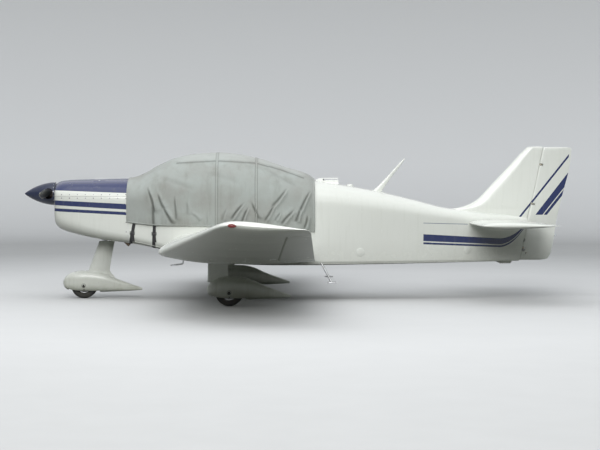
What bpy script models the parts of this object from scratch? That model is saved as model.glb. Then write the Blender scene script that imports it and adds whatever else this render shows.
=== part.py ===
# Four-seat low-wing light aircraft with a cranked wing, parked with a fabric cover over its cockpit.
# Units are metres. A station is the distance aft of the spinner's tip, and a height is above the ground.
# The nose points along -X, so the port side faces -Y.

import math

import bmesh
import bpy
from mathutils import Matrix, Vector

# Driving sizes
LENGTH = 6.96
ORIGIN_STATION = LENGTH / 2
SEAT_GAP = 0.0003
FLATNESS = 0.000001
SIDES = (("left", -1), ("right", 1))

# Materials: colour, roughness, metallic
FINISHES = {
    "white_paint": ((0.80, 0.82, 0.79), 0.30, 0.0),
    "blue_paint": ((0.035, 0.06, 0.22), 0.30, 0.0),
    "cover_fabric": ((0.46, 0.48, 0.46), 0.85, 0.0),
    "strap_web": ((0.02, 0.02, 0.02), 0.80, 0.0),
    "bare_alloy": ((0.60, 0.61, 0.62), 0.35, 1.0),
    "dark_steel": ((0.10, 0.10, 0.11), 0.45, 0.8),
    "black_paint": ((0.02, 0.02, 0.022), 0.50, 0.0),
    "tyre_rubber": ((0.018, 0.018, 0.018), 0.85, 0.0),
    "clear_acrylic": ((0.75, 0.80, 0.82), 0.08, 0.0),
    "red_lens": ((0.55, 0.02, 0.02), 0.15, 0.0),
    "green_lens": ((0.02, 0.40, 0.10), 0.15, 0.0),
}

# Engine, spinner and propeller
SHAFT_HEIGHT = 1.33
SPINNER_LENGTH = 0.395
SPINNER_RADIUS = 0.145
SPINNER_WALL = 0.004
PROPELLER_STATION = 0.315
PROPELLER_RADIUS = 0.90
BLADE_CUTOUT_RADIUS = 0.068
PROPELLER_HUB_RADIUS = 0.075
HUB_BACK = 0.0795
SHAFT_RADIUS = 0.040
SHAFT_CLEARANCE = 0.0007
ENGINE_FRONT = 0.58
ENGINE_LENGTH = 0.52
ENGINE_WIDTH = 0.66
ENGINE_BOTTOM = 1.07
ENGINE_TOP = 1.38

# Cowling and firewall
COWL_FRONT = 0.415
COWL_WALL = 0.006
COWL_SPLIT_HEIGHT = 1.30
FIREWALL_STATION = 1.355
FIREWALL_THICKNESS = 0.005

INLET_SPAN = 0.205
INLET_HEIGHT = 1.315
INLET_HALF_SIZE = (0.068, 0.055)
INLET_SQUARENESS = 0.6
CHIN_INLET_HEIGHT = 1.085
CHIN_INLET_HALF_SIZE = (0.085, 0.040)
INLET_CUT_STATIONS = (0.36, 0.47)
OUTLET_STATION = 1.20
OUTLET_HALF_WIDTH = 0.20
OUTLET_TOP = 0.80
LEG_HOLE_RADIUS = 0.060
SHAFT_HOLE_RADIUS = 0.085
SILL_HEIGHT = 1.23

# Each row: station, half width, bottom height, shoulder above the sill, top height,
# and the lower corner's radius as a share of the side's height
COWL_ROWS = (
    (COWL_FRONT, 0.285, 1.010, 0.020, 1.425, 0.500),
    (0.422, 0.325, 0.965, 0.025, 1.455, 0.448),
    (0.445, 0.355, 0.925, 0.030, 1.478, 0.418),
    (0.500, 0.382, 0.885, 0.032, 1.495, 0.398),
    (0.620, 0.415, 0.845, 0.025, 1.506, 0.366),
    (0.850, 0.455, 0.790, 0.015, 1.513, 0.308),
    (1.100, 0.482, 0.748, 0.008, 1.519, 0.255),
    (FIREWALL_STATION - SEAT_GAP, 0.500, 0.718, 0.000, 1.523, 0.215),
)

# Fuselage, with the cockpit cut down to its sill under the hood
HOOD_FRONT = 1.42
HOOD_BACK = 3.60
HULL_FRONT = FIREWALL_STATION + FIREWALL_THICKNESS + SEAT_GAP
HULL_ROWS = (
    (HULL_FRONT, 0.500, 0.717, 0.000, 1.523, 0.214),
    (HOOD_FRONT - 0.006, 0.506, 0.706, -0.025, 1.527, 0.216),
    (HOOD_FRONT, 0.506, 0.705, -0.030, SILL_HEIGHT, 0.218),
    (1.650, 0.530, 0.665, -0.030, SILL_HEIGHT, 0.187),
    (1.950, 0.548, 0.590, -0.030, SILL_HEIGHT, 0.148),
    (2.300, 0.558, 0.510, -0.030, SILL_HEIGHT, 0.116),
    (2.750, 0.556, 0.456, -0.030, SILL_HEIGHT, 0.094),
    (3.200, 0.532, 0.441, -0.030, SILL_HEIGHT, 0.086),
    (HOOD_BACK, 0.492, 0.440, -0.030, SILL_HEIGHT, 0.079),
    (HOOD_BACK + 0.006, 0.491, 0.440, -0.045, 1.512, 0.081),
    (4.020, 0.438, 0.443, -0.080, 1.447, 0.078),
    (4.530, 0.363, 0.448, -0.140, 1.352, 0.078),
    (4.940, 0.298, 0.453, -0.185, 1.255, 0.076),
    (5.350, 0.228, 0.460, -0.235, 1.152, 0.075),
    (5.800, 0.148, 0.467, -0.280, 1.092, 0.062),
    (6.150, 0.082, 0.473, -0.305, 1.058, 0.049),
    (6.460, 0.036, 0.478, -0.325, 1.030, 0.028),
)
BODY_ROWS = COWL_ROWS[:-1] + HULL_ROWS
CORNER_STEPS = 2
DECK_STEPS = 6
DECK_SQUARENESS = 0.84

# Wing: a level inner panel of constant chord, then a tapered outer panel turned up at the crank
CHORD = 1.71
TIP_CHORD = 0.90
WING_FRONT = 1.92
TIP_FRONT = 2.66
WING_NOSE_HEIGHT = 0.722
INCIDENCE = math.radians(3.35)
CRANK_SPAN = 2.95
OUTER_PANEL_SPAN = 1.3975
HALF_SPAN = CRANK_SPAN + OUTER_PANEL_SPAN
DIHEDRAL = math.radians(13.5)
WING_THICKNESS = 0.135
TIP_THICKNESS = 0.115
ROOT_BURIED_SPAN = 0.40
SKIN_STEPS = 10
TRAILING_THICKNESS = 0.005
# Each row: distance in from the tip, chord share and thickness share of the rounded tip
TIP_ROWS = (
    (0.170, 1.000, 1.00),
    (0.095, 0.985, 0.94),
    (0.040, 0.950, 0.76),
    (0.010, 0.900, 0.46),
    (0.000, 0.860, 0.18),
)

# Hinged surfaces: gap round the nose, gap at the ends, and the pins that they turn on
PIN_RADIUS = 0.007
PIN_REACH = 0.028
PIN_CLEARANCE = 0.0005
LUG_RADIUS = 0.017
LUG_THICKNESS = 0.018
LUG_GAP = 0.005
NOSE_GAP = 0.010
END_GAP = 0.010
FLAP_HINGE = 0.795
FLAP_SPAN = (0.62, CRANK_SPAN - 0.07)
AILERON_HINGE = 0.775
AILERON_SPAN = (CRANK_SPAN + 0.11, HALF_SPAN - 0.2475)
NOSE_STEPS = 6

# Tail
RUDDER_RAKE = math.tan(math.radians(12.0))
RUDDER_FOOT_STATION = 6.315
RUDDER_FOOT_HEIGHT = 0.480
FIN_TOP = 1.930
# Each row: height, leading edge station and half thickness of the fin
FIN_ROWS = (
    (1.000, 5.420, 0.030),
    (1.130, 5.425, 0.030),
    (1.155, 5.540, 0.033),
    (1.190, 5.650, 0.036),
    (1.260, 5.765, 0.038),
    (1.400, 5.900, 0.037),
    (1.700, 6.183, 0.031),
    (1.890, 6.362, 0.027),
    (1.920, 6.398, 0.022),
    (FIN_TOP, 6.440, 0.010),
)
# Each row: height, trailing edge station and half thickness of the rudder at its hinge
RUDDER_ROWS = (
    (0.486, 6.560, 0.012),
    (0.500, 6.655, 0.026),
    (0.640, 6.715, 0.034),
    (1.000, 6.775, 0.036),
    (1.300, 6.845, 0.034),
    (1.740, 6.948, 0.029),
    (1.880, 6.960, 0.027),
    (1.912, 6.955, 0.022),
    (1.922, 6.900, 0.010),
)
# Each row: height and half thickness of the rudder's nose, past both of its ends
RUDDER_BAY_ROWS = ((RUDDER_FOOT_HEIGHT - 0.18, 0.036), (1.00, 0.036), (FIN_TOP + 0.12, 0.027))
# Each row: what carries the lug, its height, the radius of the notch round it and its reach
RUDDER_LUGS = (
    ("fuselage", 0.640, 0.041, 0.075),
    ("fin", 1.200, 0.041, 0.075),
    ("fin", 1.700, 0.036, 0.070),
)
STABILATOR_FRONT = 5.640
STABILATOR_CHORD = 0.920
STABILATOR_HALF_SPAN = 1.600
STABILATOR_HEIGHT = 0.960
STABILATOR_THICKNESS = 0.090
STABILATOR_PIVOT = 0.270
STABILATOR_TUBE_RADIUS = 0.030
TAB_HINGE = 0.825
TAB_SPAN = (0.20, 1.30)

# Undercarriage
TYRE_RADIUS = 0.168
WHEEL_SIDES = 24
AXLE_HEIGHT = TYRE_RADIUS * math.cos(math.pi / WHEEL_SIDES)
TYRE_WIDTH = 0.125
RIM_RADIUS = 0.095
RIM_WIDTH = 0.096
AXLE_RADIUS = 0.0125
HUB_RADIUS = 0.030
NOSE_AXLE_STATION = 0.755
MAIN_AXLE_STATION = 2.640
MAIN_AXLE_SPAN = 1.290
NOSE_RAKE = math.radians(17.0)
NOSE_GROUND_STATION = 0.785
NOSE_STRUT_RADIUS = 0.030
MAIN_STRUT_STATION = 2.460
MAIN_STRUT_RADIUS = 0.032
SPAT_WALL = 0.004
# Each row: distance aft of the axle, half width, bottom and top heights of a wheel spat
SPAT_ROWS = (
    (-0.268, 0.026, 0.178, 0.220),
    (-0.250, 0.066, 0.140, 0.256),
    (-0.200, 0.097, 0.106, 0.306),
    (-0.120, 0.109, 0.086, 0.340),
    (-0.020, 0.112, 0.080, 0.353),
    (0.100, 0.112, 0.078, 0.351),
    (0.240, 0.101, 0.080, 0.322),
    (0.400, 0.074, 0.086, 0.252),
    (0.580, 0.042, 0.094, 0.184),
    (0.735, 0.010, 0.104, 0.130),
)
SPAT_SQUARENESS = 0.65
FORK_SPAN = 0.0727
FORK_THICKNESS = 0.010
CROWN_RADIUS = 0.012
AXLE_REACH = 0.122
SPAT_STEPS = 12
# Each row: height, chord and half width of a leg's fairing
NOSE_FAIRING_ROWS = ((0.345, 0.270, 0.052), (0.400, 0.258, 0.050), (0.550, 0.225, 0.048), (0.728, 0.195, 0.046))
MAIN_FAIRING_ROWS = ((0.285, 0.255, 0.052), (0.420, 0.240, 0.050), (0.700, 0.240, 0.050))

# Cover
COVER_WALL = 0.006
COVER_FRONT = 1.348
COVER_BACK = 3.670
# Each row: station, hem height, shoulder above the sill and top height of the cover's outside
COVER_ROWS = (
    (COVER_FRONT, 0.985, 0.005, 1.530),
    (1.440, 0.973, 0.007, 1.552),
    (1.550, 0.960, 0.011, 1.600),
    (1.720, 0.947, 0.016, 1.694),
    (1.920, 0.942, 0.020, 1.776),
    (2.160, 0.939, 0.020, 1.832),
    (2.445, 0.930, 0.020, 1.850),
    (2.740, 0.918, 0.020, 1.823),
    (3.020, 0.903, 0.013, 1.762),
    (3.300, 0.886, 0.001, 1.670),
    (3.610, 0.868, -0.025, 1.568),
    (COVER_BACK, 0.862, -0.035, 1.524),
)
COVER_EASE = 0.0108
HOOD_CLEARANCE = 0.004
# Each row: name, station at the hems, station under the belly
STRAPS = (
    ("cover_strap_front", 1.445, 1.385),
    ("cover_strap_rear", 1.690, 1.675),
)

# Parts on the rear deck. Vent rows: station, half width, top height. Antenna rows: way up, chord, half thickness
VENT_ROWS = ((3.700, 0.060, 1.512), (3.760, 0.100, 1.530), (3.985, 0.105, 1.534))
VENT_FOOT = 1.400
VENT_MOUTH_LOW = (3.90, -0.075, 1.470)
VENT_MOUTH_HIGH = (4.10, 0.075, 1.516)
ANTENNA_STATION = 4.475
ANTENNA_FOOT = 1.350
ANTENNA_RAKE = math.radians(40.0)
ANTENNA_ROWS = ((0.0, 0.120, 0.012), (0.18, 0.072, 0.009), (0.52, 0.030, 0.005), (0.56, 0.016, 0.003))
PUCK_STATION = 4.135

# Steps, lamps and the parts underneath: points are station, span and height
STEP_HEAD = (3.755, 0.430, 0.490)
STEP_FOOT = (3.885, 0.600, 0.235)
STEP_RADIUS = 0.011
STEP_PLATE = (0.110, 0.090, 0.012)
LANDING_LIGHT_SPAN = (CRANK_SPAN - 0.53, CRANK_SPAN - 0.23)
LANDING_LIGHT_DEPTH = 0.060
NAV_LIGHT_AFT = 0.115
TAIL_LIGHT_HEIGHT = 0.800
EXHAUST_PATH = (
    (1.000, 0.130, ENGINE_BOTTOM - 0.0005),
    (1.000, 0.130, 0.930),
    (1.060, 0.130, 0.840),
    (1.195, 0.130, 0.785),
    (1.320, 0.130, 0.670),
)
EXHAUST_RADIUS = 0.026
PITOT_SPAN = CRANK_SPAN - 0.75
PITOT_PATH = (
    (2.150, -PITOT_SPAN, 0.680),
    (2.145, -PITOT_SPAN, 0.560),
    (2.125, -PITOT_SPAN, 0.540),
    (2.000, -PITOT_SPAN, 0.535),
)
PITOT_RADIUS = 0.009
TIE_DOWN_STATION = 2.400
TIE_DOWN_SPAN = CRANK_SPAN - 0.40
TIE_DOWN_FOOT = 0.590
TIE_DOWN_SIZE = 0.060
SKID_STATION = 6.100
SKID_FOOT = 0.440
STRAP_WIDTH = 0.040
STRAP_THICKNESS = 0.0020
STRAP_SLACK = 0.0011
STRAP_TUCK = 0.045


def at(station, y, height):
    """A point in the part's frame."""
    return Vector((station - ORIGIN_STATION, y, height))


def clear_scene():
    for old in list(bpy.data.objects):
        bpy.data.objects.remove(old)
    for name in ("light_aircraft", "cutters"):
        collection = bpy.data.collections.new(name)
        bpy.context.scene.collection.children.link(collection)


def paint(name):
    """The material of that finish, made once."""
    made = bpy.data.materials.get(name)
    if made:
        return made
    colour, roughness, metallic = FINISHES[name]
    made = bpy.data.materials.new(name)
    made.use_nodes = True
    shader = made.node_tree.nodes["Principled BSDF"]
    shader.inputs["Base Color"].default_value = (*colour, 1.0)
    shader.inputs["Roughness"].default_value = roughness
    shader.inputs["Metallic"].default_value = metallic
    return made


def add_object(name, bm, finish, location=(0, 0, 0)):
    """Turns the bmesh into an object: a node with a finish, or a cutter without one."""
    mesh = bpy.data.meshes.new(name)
    if bm.calc_volume(signed=True) < 0:
        bmesh.ops.reverse_faces(bm, faces=bm.faces)
    bm.to_mesh(mesh)
    bm.free()
    obj = bpy.data.objects.new(name, mesh)
    obj.location = location
    if finish:
        mesh.materials.append(paint(finish))
        mesh.shade_smooth()
        mesh.set_sharp_from_angle(angle=math.radians(35))
        bpy.data.collections["light_aircraft"].objects.link(obj)
    else:
        obj.hide_render = True
        obj.display_type = "WIRE"
        bpy.data.collections["cutters"].objects.link(obj)
    return obj


def loft(name, rings, finish=None, origin=(0, 0, 0)):
    """A closed skin through rings of equally many points, capped at both ends."""
    bm = bmesh.new()
    origin = Vector(origin)
    loops = [[bm.verts.new(Vector(point) - origin) for point in ring] for ring in rings]
    count = len(rings[0])
    for first, second in zip(loops, loops[1:]):
        for i in range(count):
            j = (i + 1) % count
            bm.faces.new((first[i], first[j], second[j], second[i]))
    bm.faces.new(list(reversed(loops[0])))
    bm.faces.new(loops[-1])
    bm.normal_update()
    bent = [f for f in bm.faces if max(abs((v.co - f.verts[0].co).dot(f.normal)) for v in f.verts) > FLATNESS]
    bmesh.ops.triangulate(bm, faces=bent)
    return add_object(name, bm, finish, origin)


def box(name, low, high, finish=None):
    """An upright box between two corners."""
    bm = bmesh.new()
    low, high = Vector(low), Vector(high)
    size = high - low
    bmesh.ops.create_cube(bm, size=1.0, matrix=Matrix.Translation((low + high) / 2) @ Matrix.Diagonal((*size, 1.0)))
    return add_object(name, bm, finish)


def rod(name, start, end, radius, finish=None, end_radius=None, sides=16):
    """A round bar or cone from start to end."""
    bm = bmesh.new()
    start, end = Vector(start), Vector(end)
    along = end - start
    turn = along.to_track_quat("Z", "Y").to_matrix().to_4x4()
    bmesh.ops.create_cone(
        bm,
        cap_ends=True,
        segments=sides,
        radius1=radius,
        radius2=radius if end_radius is None else end_radius,
        depth=along.length,
        matrix=Matrix.Translation((start + end) / 2) @ turn,
    )
    return add_object(name, bm, finish)


def plate(name, start, end, width, thickness, across, finish=None):
    """A flat bar from start to end, its thickness measured along across."""
    start, end, across = Vector(start), Vector(end), Vector(across).normalized()
    along = (end - start).normalized()
    side = along.cross(across)
    turn = Matrix((side, across, along)).transposed().to_4x4()
    size = Matrix.Diagonal((width, thickness, (end - start).length, 1.0))
    bm = bmesh.new()
    bmesh.ops.create_cube(bm, size=1.0, matrix=Matrix.Translation((start + end) / 2) @ turn @ size)
    return add_object(name, bm, finish)


def turned(name, profile, centre, axis, finish=None, sides=36):
    """A solid turned about an axis, from a closed profile of (distance along the axis, radius)."""
    bm = bmesh.new()
    turn = Vector(axis).to_track_quat("Z", "Y").to_matrix().to_4x4()
    rings = []
    for k in range(sides):
        angle = 2 * math.pi * (k + 0.5) / sides
        spoke = Vector((math.cos(angle), math.sin(angle), 0))
        rings.append([bm.verts.new(turn @ (spoke * radius + Vector((0, 0, along)))) for along, radius in profile])
    count = len(profile)
    for k in range(sides):
        first, second = rings[k], rings[(k + 1) % sides]
        for i in range(count):
            j = (i + 1) % count
            if profile[i][1] or profile[j][1]:
                bm.faces.new((first[i], second[i], second[j], first[j]))
    bmesh.ops.remove_doubles(bm, verts=bm.verts, dist=1e-6)
    return add_object(name, bm, finish, centre)


def swept(name, path, radius, finish=None, sides=14):
    """A round bar along a path of points."""
    rings = []
    for k, point in enumerate(path):
        before, after = path[max(0, k - 1)], path[min(len(path) - 1, k + 1)]
        along = (after - before).normalized()
        first = along.cross(Vector((0, 1, 0))).normalized()
        second = along.cross(first)
        turns = [2 * math.pi * j / sides for j in range(sides)]
        rings.append([point + radius * (math.cos(a) * first + math.sin(a) * second) for a in turns])
    return loft(name, rings, finish)


def combine(target, other, operation):
    """Adds an exact Boolean of the other object to the target."""
    modifier = target.modifiers.new(operation.title(), "BOOLEAN")
    modifier.operation = operation
    modifier.object = other
    modifier.solver = "EXACT"
    return target


def cut(target, *cutters):
    for cutter in cutters:
        combine(target, cutter, "DIFFERENCE")
    return target


def join(target, *others):
    for other in others:
        combine(target, other, "UNION")
    return target


# Fuselage and cowling sections


def hull_ring(row, grow=0.0):
    """A section with a flat bottom, upright sides and a crowned deck."""
    station, half_width, bottom, shoulder, top, corner_share = row
    shoulder += SILL_HEIGHT
    corner = corner_share * (shoulder - bottom)
    width, low, high, radius = half_width + grow, bottom - grow, top + grow, corner + grow
    half = [(0.0, low)]
    for k in range(CORNER_STEPS + 1):
        angle = math.radians(-90 + 90 * k / CORNER_STEPS)
        half.append((width - radius + radius * math.cos(angle), low + radius + radius * math.sin(angle)))
    for k in range(DECK_STEPS):
        angle = math.radians(90 * k / DECK_STEPS)
        rise = (high - shoulder) * math.sin(angle) ** DECK_SQUARENESS
        half.append((width * math.cos(angle) ** DECK_SQUARENESS, shoulder + rise))
    half.append((0.0, high))
    return [at(station, y, z) for y, z in half + [(-y, z) for y, z in reversed(half[1:-1])]]


def row_between(rows, station):
    """The table's row at any station, by straight interpolation."""
    for first, second in zip(rows, rows[1:]):
        if first[0] <= station <= second[0]:
            share = (station - first[0]) / (second[0] - first[0])
            return tuple(a + (b - a) * share for a, b in zip(first, second))
    raise ValueError("station outside the table")


def hull_loft(name, rows, grow=0.0, finish=None, reach=0.0):
    """The hull skin, grown outwards, with its two ends moved out by reach."""
    rings = [hull_ring(row, grow) for row in rows]
    rings[0] = [point - Vector((reach, 0, 0)) for point in rings[0]]
    rings[-1] = [point + Vector((reach, 0, 0)) for point in rings[-1]]
    return loft(name, rings, finish)


def nose_axis_point(height):
    """The point of the nose leg's steering axis at that height."""
    return at(NOSE_GROUND_STATION + height * math.tan(NOSE_RAKE), 0, height)


# Wing sections


def camber_line(x):
    """Height of a reflex-free forward-cambered mean line, as shares of the chord."""
    turn, gain = 0.2025, 15.957
    if x < turn:
        return gain / 6 * (x**3 - 3 * turn * x**2 + turn**2 * (3 - turn) * x)
    return gain * turn**3 / 6 * (1 - x)


def half_thickness(x, thickness):
    curve = 0.2969 * math.sqrt(x) - 0.1260 * x - 0.3516 * x**2 + 0.2843 * x**3 - 0.1036 * x**4
    return 5 * thickness * curve


def airfoil_outline(chord, thickness, cambered=True, steps=SKIN_STEPS):
    """Points (aft, up) round an aerofoil, from the upper trailing edge over the nose to the lower one."""
    upper, lower = [], []
    for k in range(steps + 1):
        x = 0.5 * (1 + math.cos(math.pi * k / steps))
        mean = camber_line(x) * chord if cambered else 0.0
        half = half_thickness(x, thickness) * chord + TRAILING_THICKNESS / 2 * x
        upper.append((x * chord, mean + half))
        lower.append((x * chord, mean - half))
    return upper + list(reversed(lower[:-1]))


class Panel:
    """Where the wing's sections stand: nose station and height, chord, thickness and tilt at a span."""

    def __init__(self, span):
        outboard = max(0.0, span - CRANK_SPAN)
        share = outboard / (HALF_SPAN - CRANK_SPAN)
        self.chord = CHORD + (TIP_CHORD - CHORD) * share
        self.front = WING_FRONT + (TIP_FRONT - WING_FRONT) * share
        self.height = WING_NOSE_HEIGHT + outboard * math.tan(DIHEDRAL)
        self.thickness = WING_THICKNESS + (TIP_THICKNESS - WING_THICKNESS) * share
        self.span = span
        self.tilt = DIHEDRAL if outboard > 0.001 else 0.0
        if abs(outboard) <= 0.001 and span > CRANK_SPAN - 0.001:
            self.tilt = DIHEDRAL / 2

    def point(self, aft, up, side):
        """A point of this section; the section leans inboard as the panel rises."""
        station = self.front + aft * math.cos(INCIDENCE) + up * math.sin(INCIDENCE)
        rise = up * math.cos(INCIDENCE) - aft * math.sin(INCIDENCE)
        return at(station, side * (self.span - rise * math.tan(self.tilt)), self.height + rise)

    def hinge(self, share):
        """Aft, up and nose radius of a hinge at that share of the chord."""
        aft = share * self.chord
        radius = half_thickness(share, self.thickness) * self.chord + TRAILING_THICKNESS / 2 * share
        return aft, camber_line(share) * self.chord, radius


def wing_ring(span, side, chord_share=1.0, thickness_share=1.0, grow=0.0):
    panel = Panel(span)
    chord = panel.chord * chord_share + 2 * grow
    shift = (panel.chord * (1 - chord_share)) * 0.62 - grow
    thickness = panel.thickness * thickness_share / chord_share + 2 * grow / panel.chord
    return [panel.point(aft + shift, up, side) for aft, up in airfoil_outline(chord, thickness)]


def surface_outline(panel, share):
    """A hinged surface's section: a round nose on the hinge, then the aerofoil's tail."""
    aft, up, radius = panel.hinge(share)
    outline = []
    for k in range(NOSE_STEPS + 1):
        angle = math.radians(90 + 180 * k / NOSE_STEPS)
        outline.append((aft + radius * math.cos(angle), up + radius * math.sin(angle)))
    tail = []
    for k in range(1, 4):
        x = share + (1 - share) * k / 3
        half = half_thickness(x, panel.thickness) * panel.chord + TRAILING_THICKNESS / 2 * x
        tail.append((x * panel.chord, camber_line(x) * panel.chord, half))
    outline += [(x, mean - half) for x, mean, half in tail]
    outline += [(x, mean + half) for x, mean, half in reversed(tail)]
    return outline


def hinge_line(share, spans, side):
    """The two ends of a hinge at that share of the chord."""
    ends = []
    for panel in map(Panel, spans):
        aft, up, _ = panel.hinge(share)
        ends.append(panel.point(aft, up, side))
    return ends


def bay_outline(aft, up, radius, upper_lip, lower_lip, reach):
    """The space behind a cove of that radius, whose lips end at two angles measured from aft, upwards."""
    arc = []
    for k in range(NOSE_STEPS + 1):
        angle = math.radians(upper_lip + (lower_lip - upper_lip) * k / NOSE_STEPS)
        arc.append((aft + radius * math.cos(angle), up + radius * math.sin(angle)))
    far = aft + reach
    return arc + [(arc[-1][0], up - 0.3), (far, up - 0.3), (far, up + 0.3), (arc[0][0], up + 0.3)]


def hang_on_end_pins(fixed, moving, start, end, radius=PIN_RADIUS):
    """Carries the moving surface on a pin at each end of its hinge line, fast in the fixed part."""
    along = (end - start).normalized() * PIN_REACH
    for number, point in enumerate((start, end)):
        name = f"{moving.name}_pin_{number}"
        join(fixed, rod(name, point - along, point + along, radius, sides=10))
        cut(moving, rod(name + "_bore", point - along * 1.04, point + along * 1.04, radius + PIN_CLEARANCE, sides=10))


def hang_on_lug(fixed, moving, number, centre, axis, nose_radius, reach):
    """Carries the moving surface on a pin through a lug that reaches aft from the fixed part."""
    name = f"{moving.name}_lug_{number}"
    axis = Vector(axis).normalized()
    half = axis * LUG_THICKNESS / 2
    space = axis * (LUG_THICKNESS / 2 + LUG_GAP)
    pin = axis * (LUG_THICKNESS / 2 + PIN_REACH)
    forward = Vector((-1, 0, 0)) + axis * axis.x
    forward = forward.normalized() * reach
    cut(moving, rod(name + "_notch", centre - space, centre + space, nose_radius, sides=10))
    bore_ends = (centre - pin * 1.04, centre + pin * 1.04)
    cut(moving, rod(name + "_bore", *bore_ends, PIN_RADIUS + PIN_CLEARANCE, sides=10))
    lug = rod(name, centre - half, centre + half, LUG_RADIUS, sides=12)
    join(lug, plate(name + "_arm", centre, centre + forward, 2 * LUG_RADIUS, LUG_THICKNESS, axis))
    join(lug, rod(name + "_pin", centre - pin, centre + pin, PIN_RADIUS, sides=10))
    join(fixed, lug)


def hinged_surface(name, side, share, spans, upper_lip, lower_lip):
    """A flap or aileron and the bay that it swings in."""
    panels = [Panel(span) for span in spans]
    rings = [[p.point(aft, up, side) for aft, up in surface_outline(p, share)] for p in panels]
    aft, up, _ = panels[0].hinge(share)
    surface = loft(name, rings, "white_paint", panels[0].point(aft, up, side))
    ends = (spans[0] - END_GAP, spans[1] + END_GAP)
    bay_rings = []
    for panel in map(Panel, ends):
        aft, up, radius = panel.hinge(share)
        outline = bay_outline(aft, up, radius + NOSE_GAP, upper_lip, lower_lip, 0.8)
        bay_rings.append([panel.point(a, u, side) for a, u in outline])
    return surface, loft("bay_" + name, bay_rings)


# Sub-parts


def build_hull():
    hull = hull_loft("fuselage", HULL_ROWS, finish="white_paint")
    faces = (FIREWALL_STATION, FIREWALL_STATION + FIREWALL_THICKNESS)
    rings = [hull_ring((station, *HULL_ROWS[0][1:])) for station in faces]
    loft("firewall", rings, "bare_alloy")
    return hull


def inlet_cutter(name, centre, half_size, squareness):
    """A bar through the cowling's face with a rounded oblong section."""
    rings = []
    for station in INLET_CUT_STATIONS:
        ring = []
        for k in range(12):
            angle = 2 * math.pi * k / 12
            across = math.copysign(abs(math.cos(angle)) ** squareness, math.cos(angle))
            rise = math.copysign(abs(math.sin(angle)) ** squareness, math.sin(angle))
            ring.append(at(station, centre[0] + half_size[0] * across, centre[1] + half_size[1] * rise))
        rings.append(ring)
    return loft(name, rings)


def build_cowling():
    rows = [(COWL_ROWS[0][0] + COWL_WALL, *COWL_ROWS[0][1:])] + list(COWL_ROWS[2:-1:2]) + [COWL_ROWS[-1]]
    inside = hull_loft("cowl_inside", rows, grow=-COWL_WALL)
    tail = row_between(COWL_ROWS, COWL_ROWS[-1][0])
    tail_rings = [hull_ring((station, *tail[1:]), -COWL_WALL) for station in (tail[0] - 0.002, tail[0] + 0.05)]
    opening = loft("cowl_back_opening", tail_rings)
    shaft_hole = rod("cowl_shaft_hole", at(0.3, 0, SHAFT_HEIGHT), at(0.5, 0, SHAFT_HEIGHT), SHAFT_HOLE_RADIUS)
    upper = hull_loft("cowl_upper", COWL_ROWS, finish="white_paint")
    lower = hull_loft("cowl_lower", COWL_ROWS, finish="white_paint")
    split = COWL_SPLIT_HEIGHT
    below = box("cowl_upper_trim", at(0.2, -1, split - 1), at(1.6, 1, split + SEAT_GAP))
    above = box("cowl_lower_trim", at(0.2, -1, split), at(1.6, 1, split + 1))
    cut(upper, inside, opening, below, shaft_hole)
    cut(lower, inside, opening, above, shaft_hole)
    for side_name, side in SIDES:
        centre = (side * INLET_SPAN, INLET_HEIGHT)
        inlet = inlet_cutter("air_inlet_" + side_name, centre, INLET_HALF_SIZE, INLET_SQUARENESS)
        cut(upper, inlet)
        cut(lower, inlet)
    cut(lower, inlet_cutter("chin_inlet", (0.0, CHIN_INLET_HEIGHT), CHIN_INLET_HALF_SIZE, 1.0))
    leg_hole = rod("cowl_leg_hole", nose_axis_point(0.60), nose_axis_point(0.90), LEG_HOLE_RADIUS)
    corners = (at(OUTLET_STATION, -OUTLET_HALF_WIDTH, 0.4), at(OUTLET_STATION + 0.3, OUTLET_HALF_WIDTH, OUTLET_TOP))
    cut(lower, leg_hole, box("cowl_outlet", *corners))


def behind_firewall(name):
    """A cutter that ends a tube flush against the firewall's front."""
    return box(name, at(FIREWALL_STATION - SEAT_GAP, -0.6, 0.5), at(FIREWALL_STATION + 0.2, 0.6, 1.6))


def build_engine():
    back = ENGINE_FRONT + ENGINE_LENGTH
    half = ENGINE_WIDTH / 2
    engine = box("engine", at(ENGINE_FRONT, -half, ENGINE_BOTTOM), at(back, half, ENGINE_TOP), "dark_steel")
    for side_name, side in SIDES:
        for level, height in (("upper", 1.36), ("lower", 1.14)):
            start = at(back - 0.05, side * 0.20, height - 0.01)
            end = at(FIREWALL_STATION + 0.02, side * 0.30, height)
            join(engine, rod(f"mount_tube_{level}_{side_name}", start, end, 0.012, sides=8))
    deep = at(ENGINE_FRONT + 0.10, 0, SHAFT_HEIGHT)
    bore = rod("engine_bore", at(0.4, 0, SHAFT_HEIGHT), deep, SHAFT_RADIUS + SHAFT_CLEARANCE, sides=24)
    cut(engine, bore, behind_firewall("engine_trim"))


def blade_ring(radius, side):
    """A blade section: flat-backed, twisted to the pitch and swept into a round root."""
    share = (radius - 0.10) / (PROPELLER_RADIUS - 0.10)
    chord = 0.085 + 0.055 * math.sin(math.pi * min(1.0, share * 1.15 + 0.1)) - 0.055 * max(0, share - 0.75) * 4
    thickness = 0.050 * (1 - share) ** 1.5 + 0.008
    pitch = math.atan2(1.25, 2 * math.pi * max(radius, 0.16))
    ring = []
    for k in range(10):
        angle = 2 * math.pi * k / 10
        along, across = 0.5 * chord * math.cos(angle), 0.5 * thickness * math.sin(angle)
        ring.append(
            at(
                PROPELLER_STATION + along * math.sin(pitch) * -side + across * math.cos(pitch),
                side * radius,
                SHAFT_HEIGHT + along * math.cos(pitch) + side * across * math.sin(pitch),
            )
        )
    return ring


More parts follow.
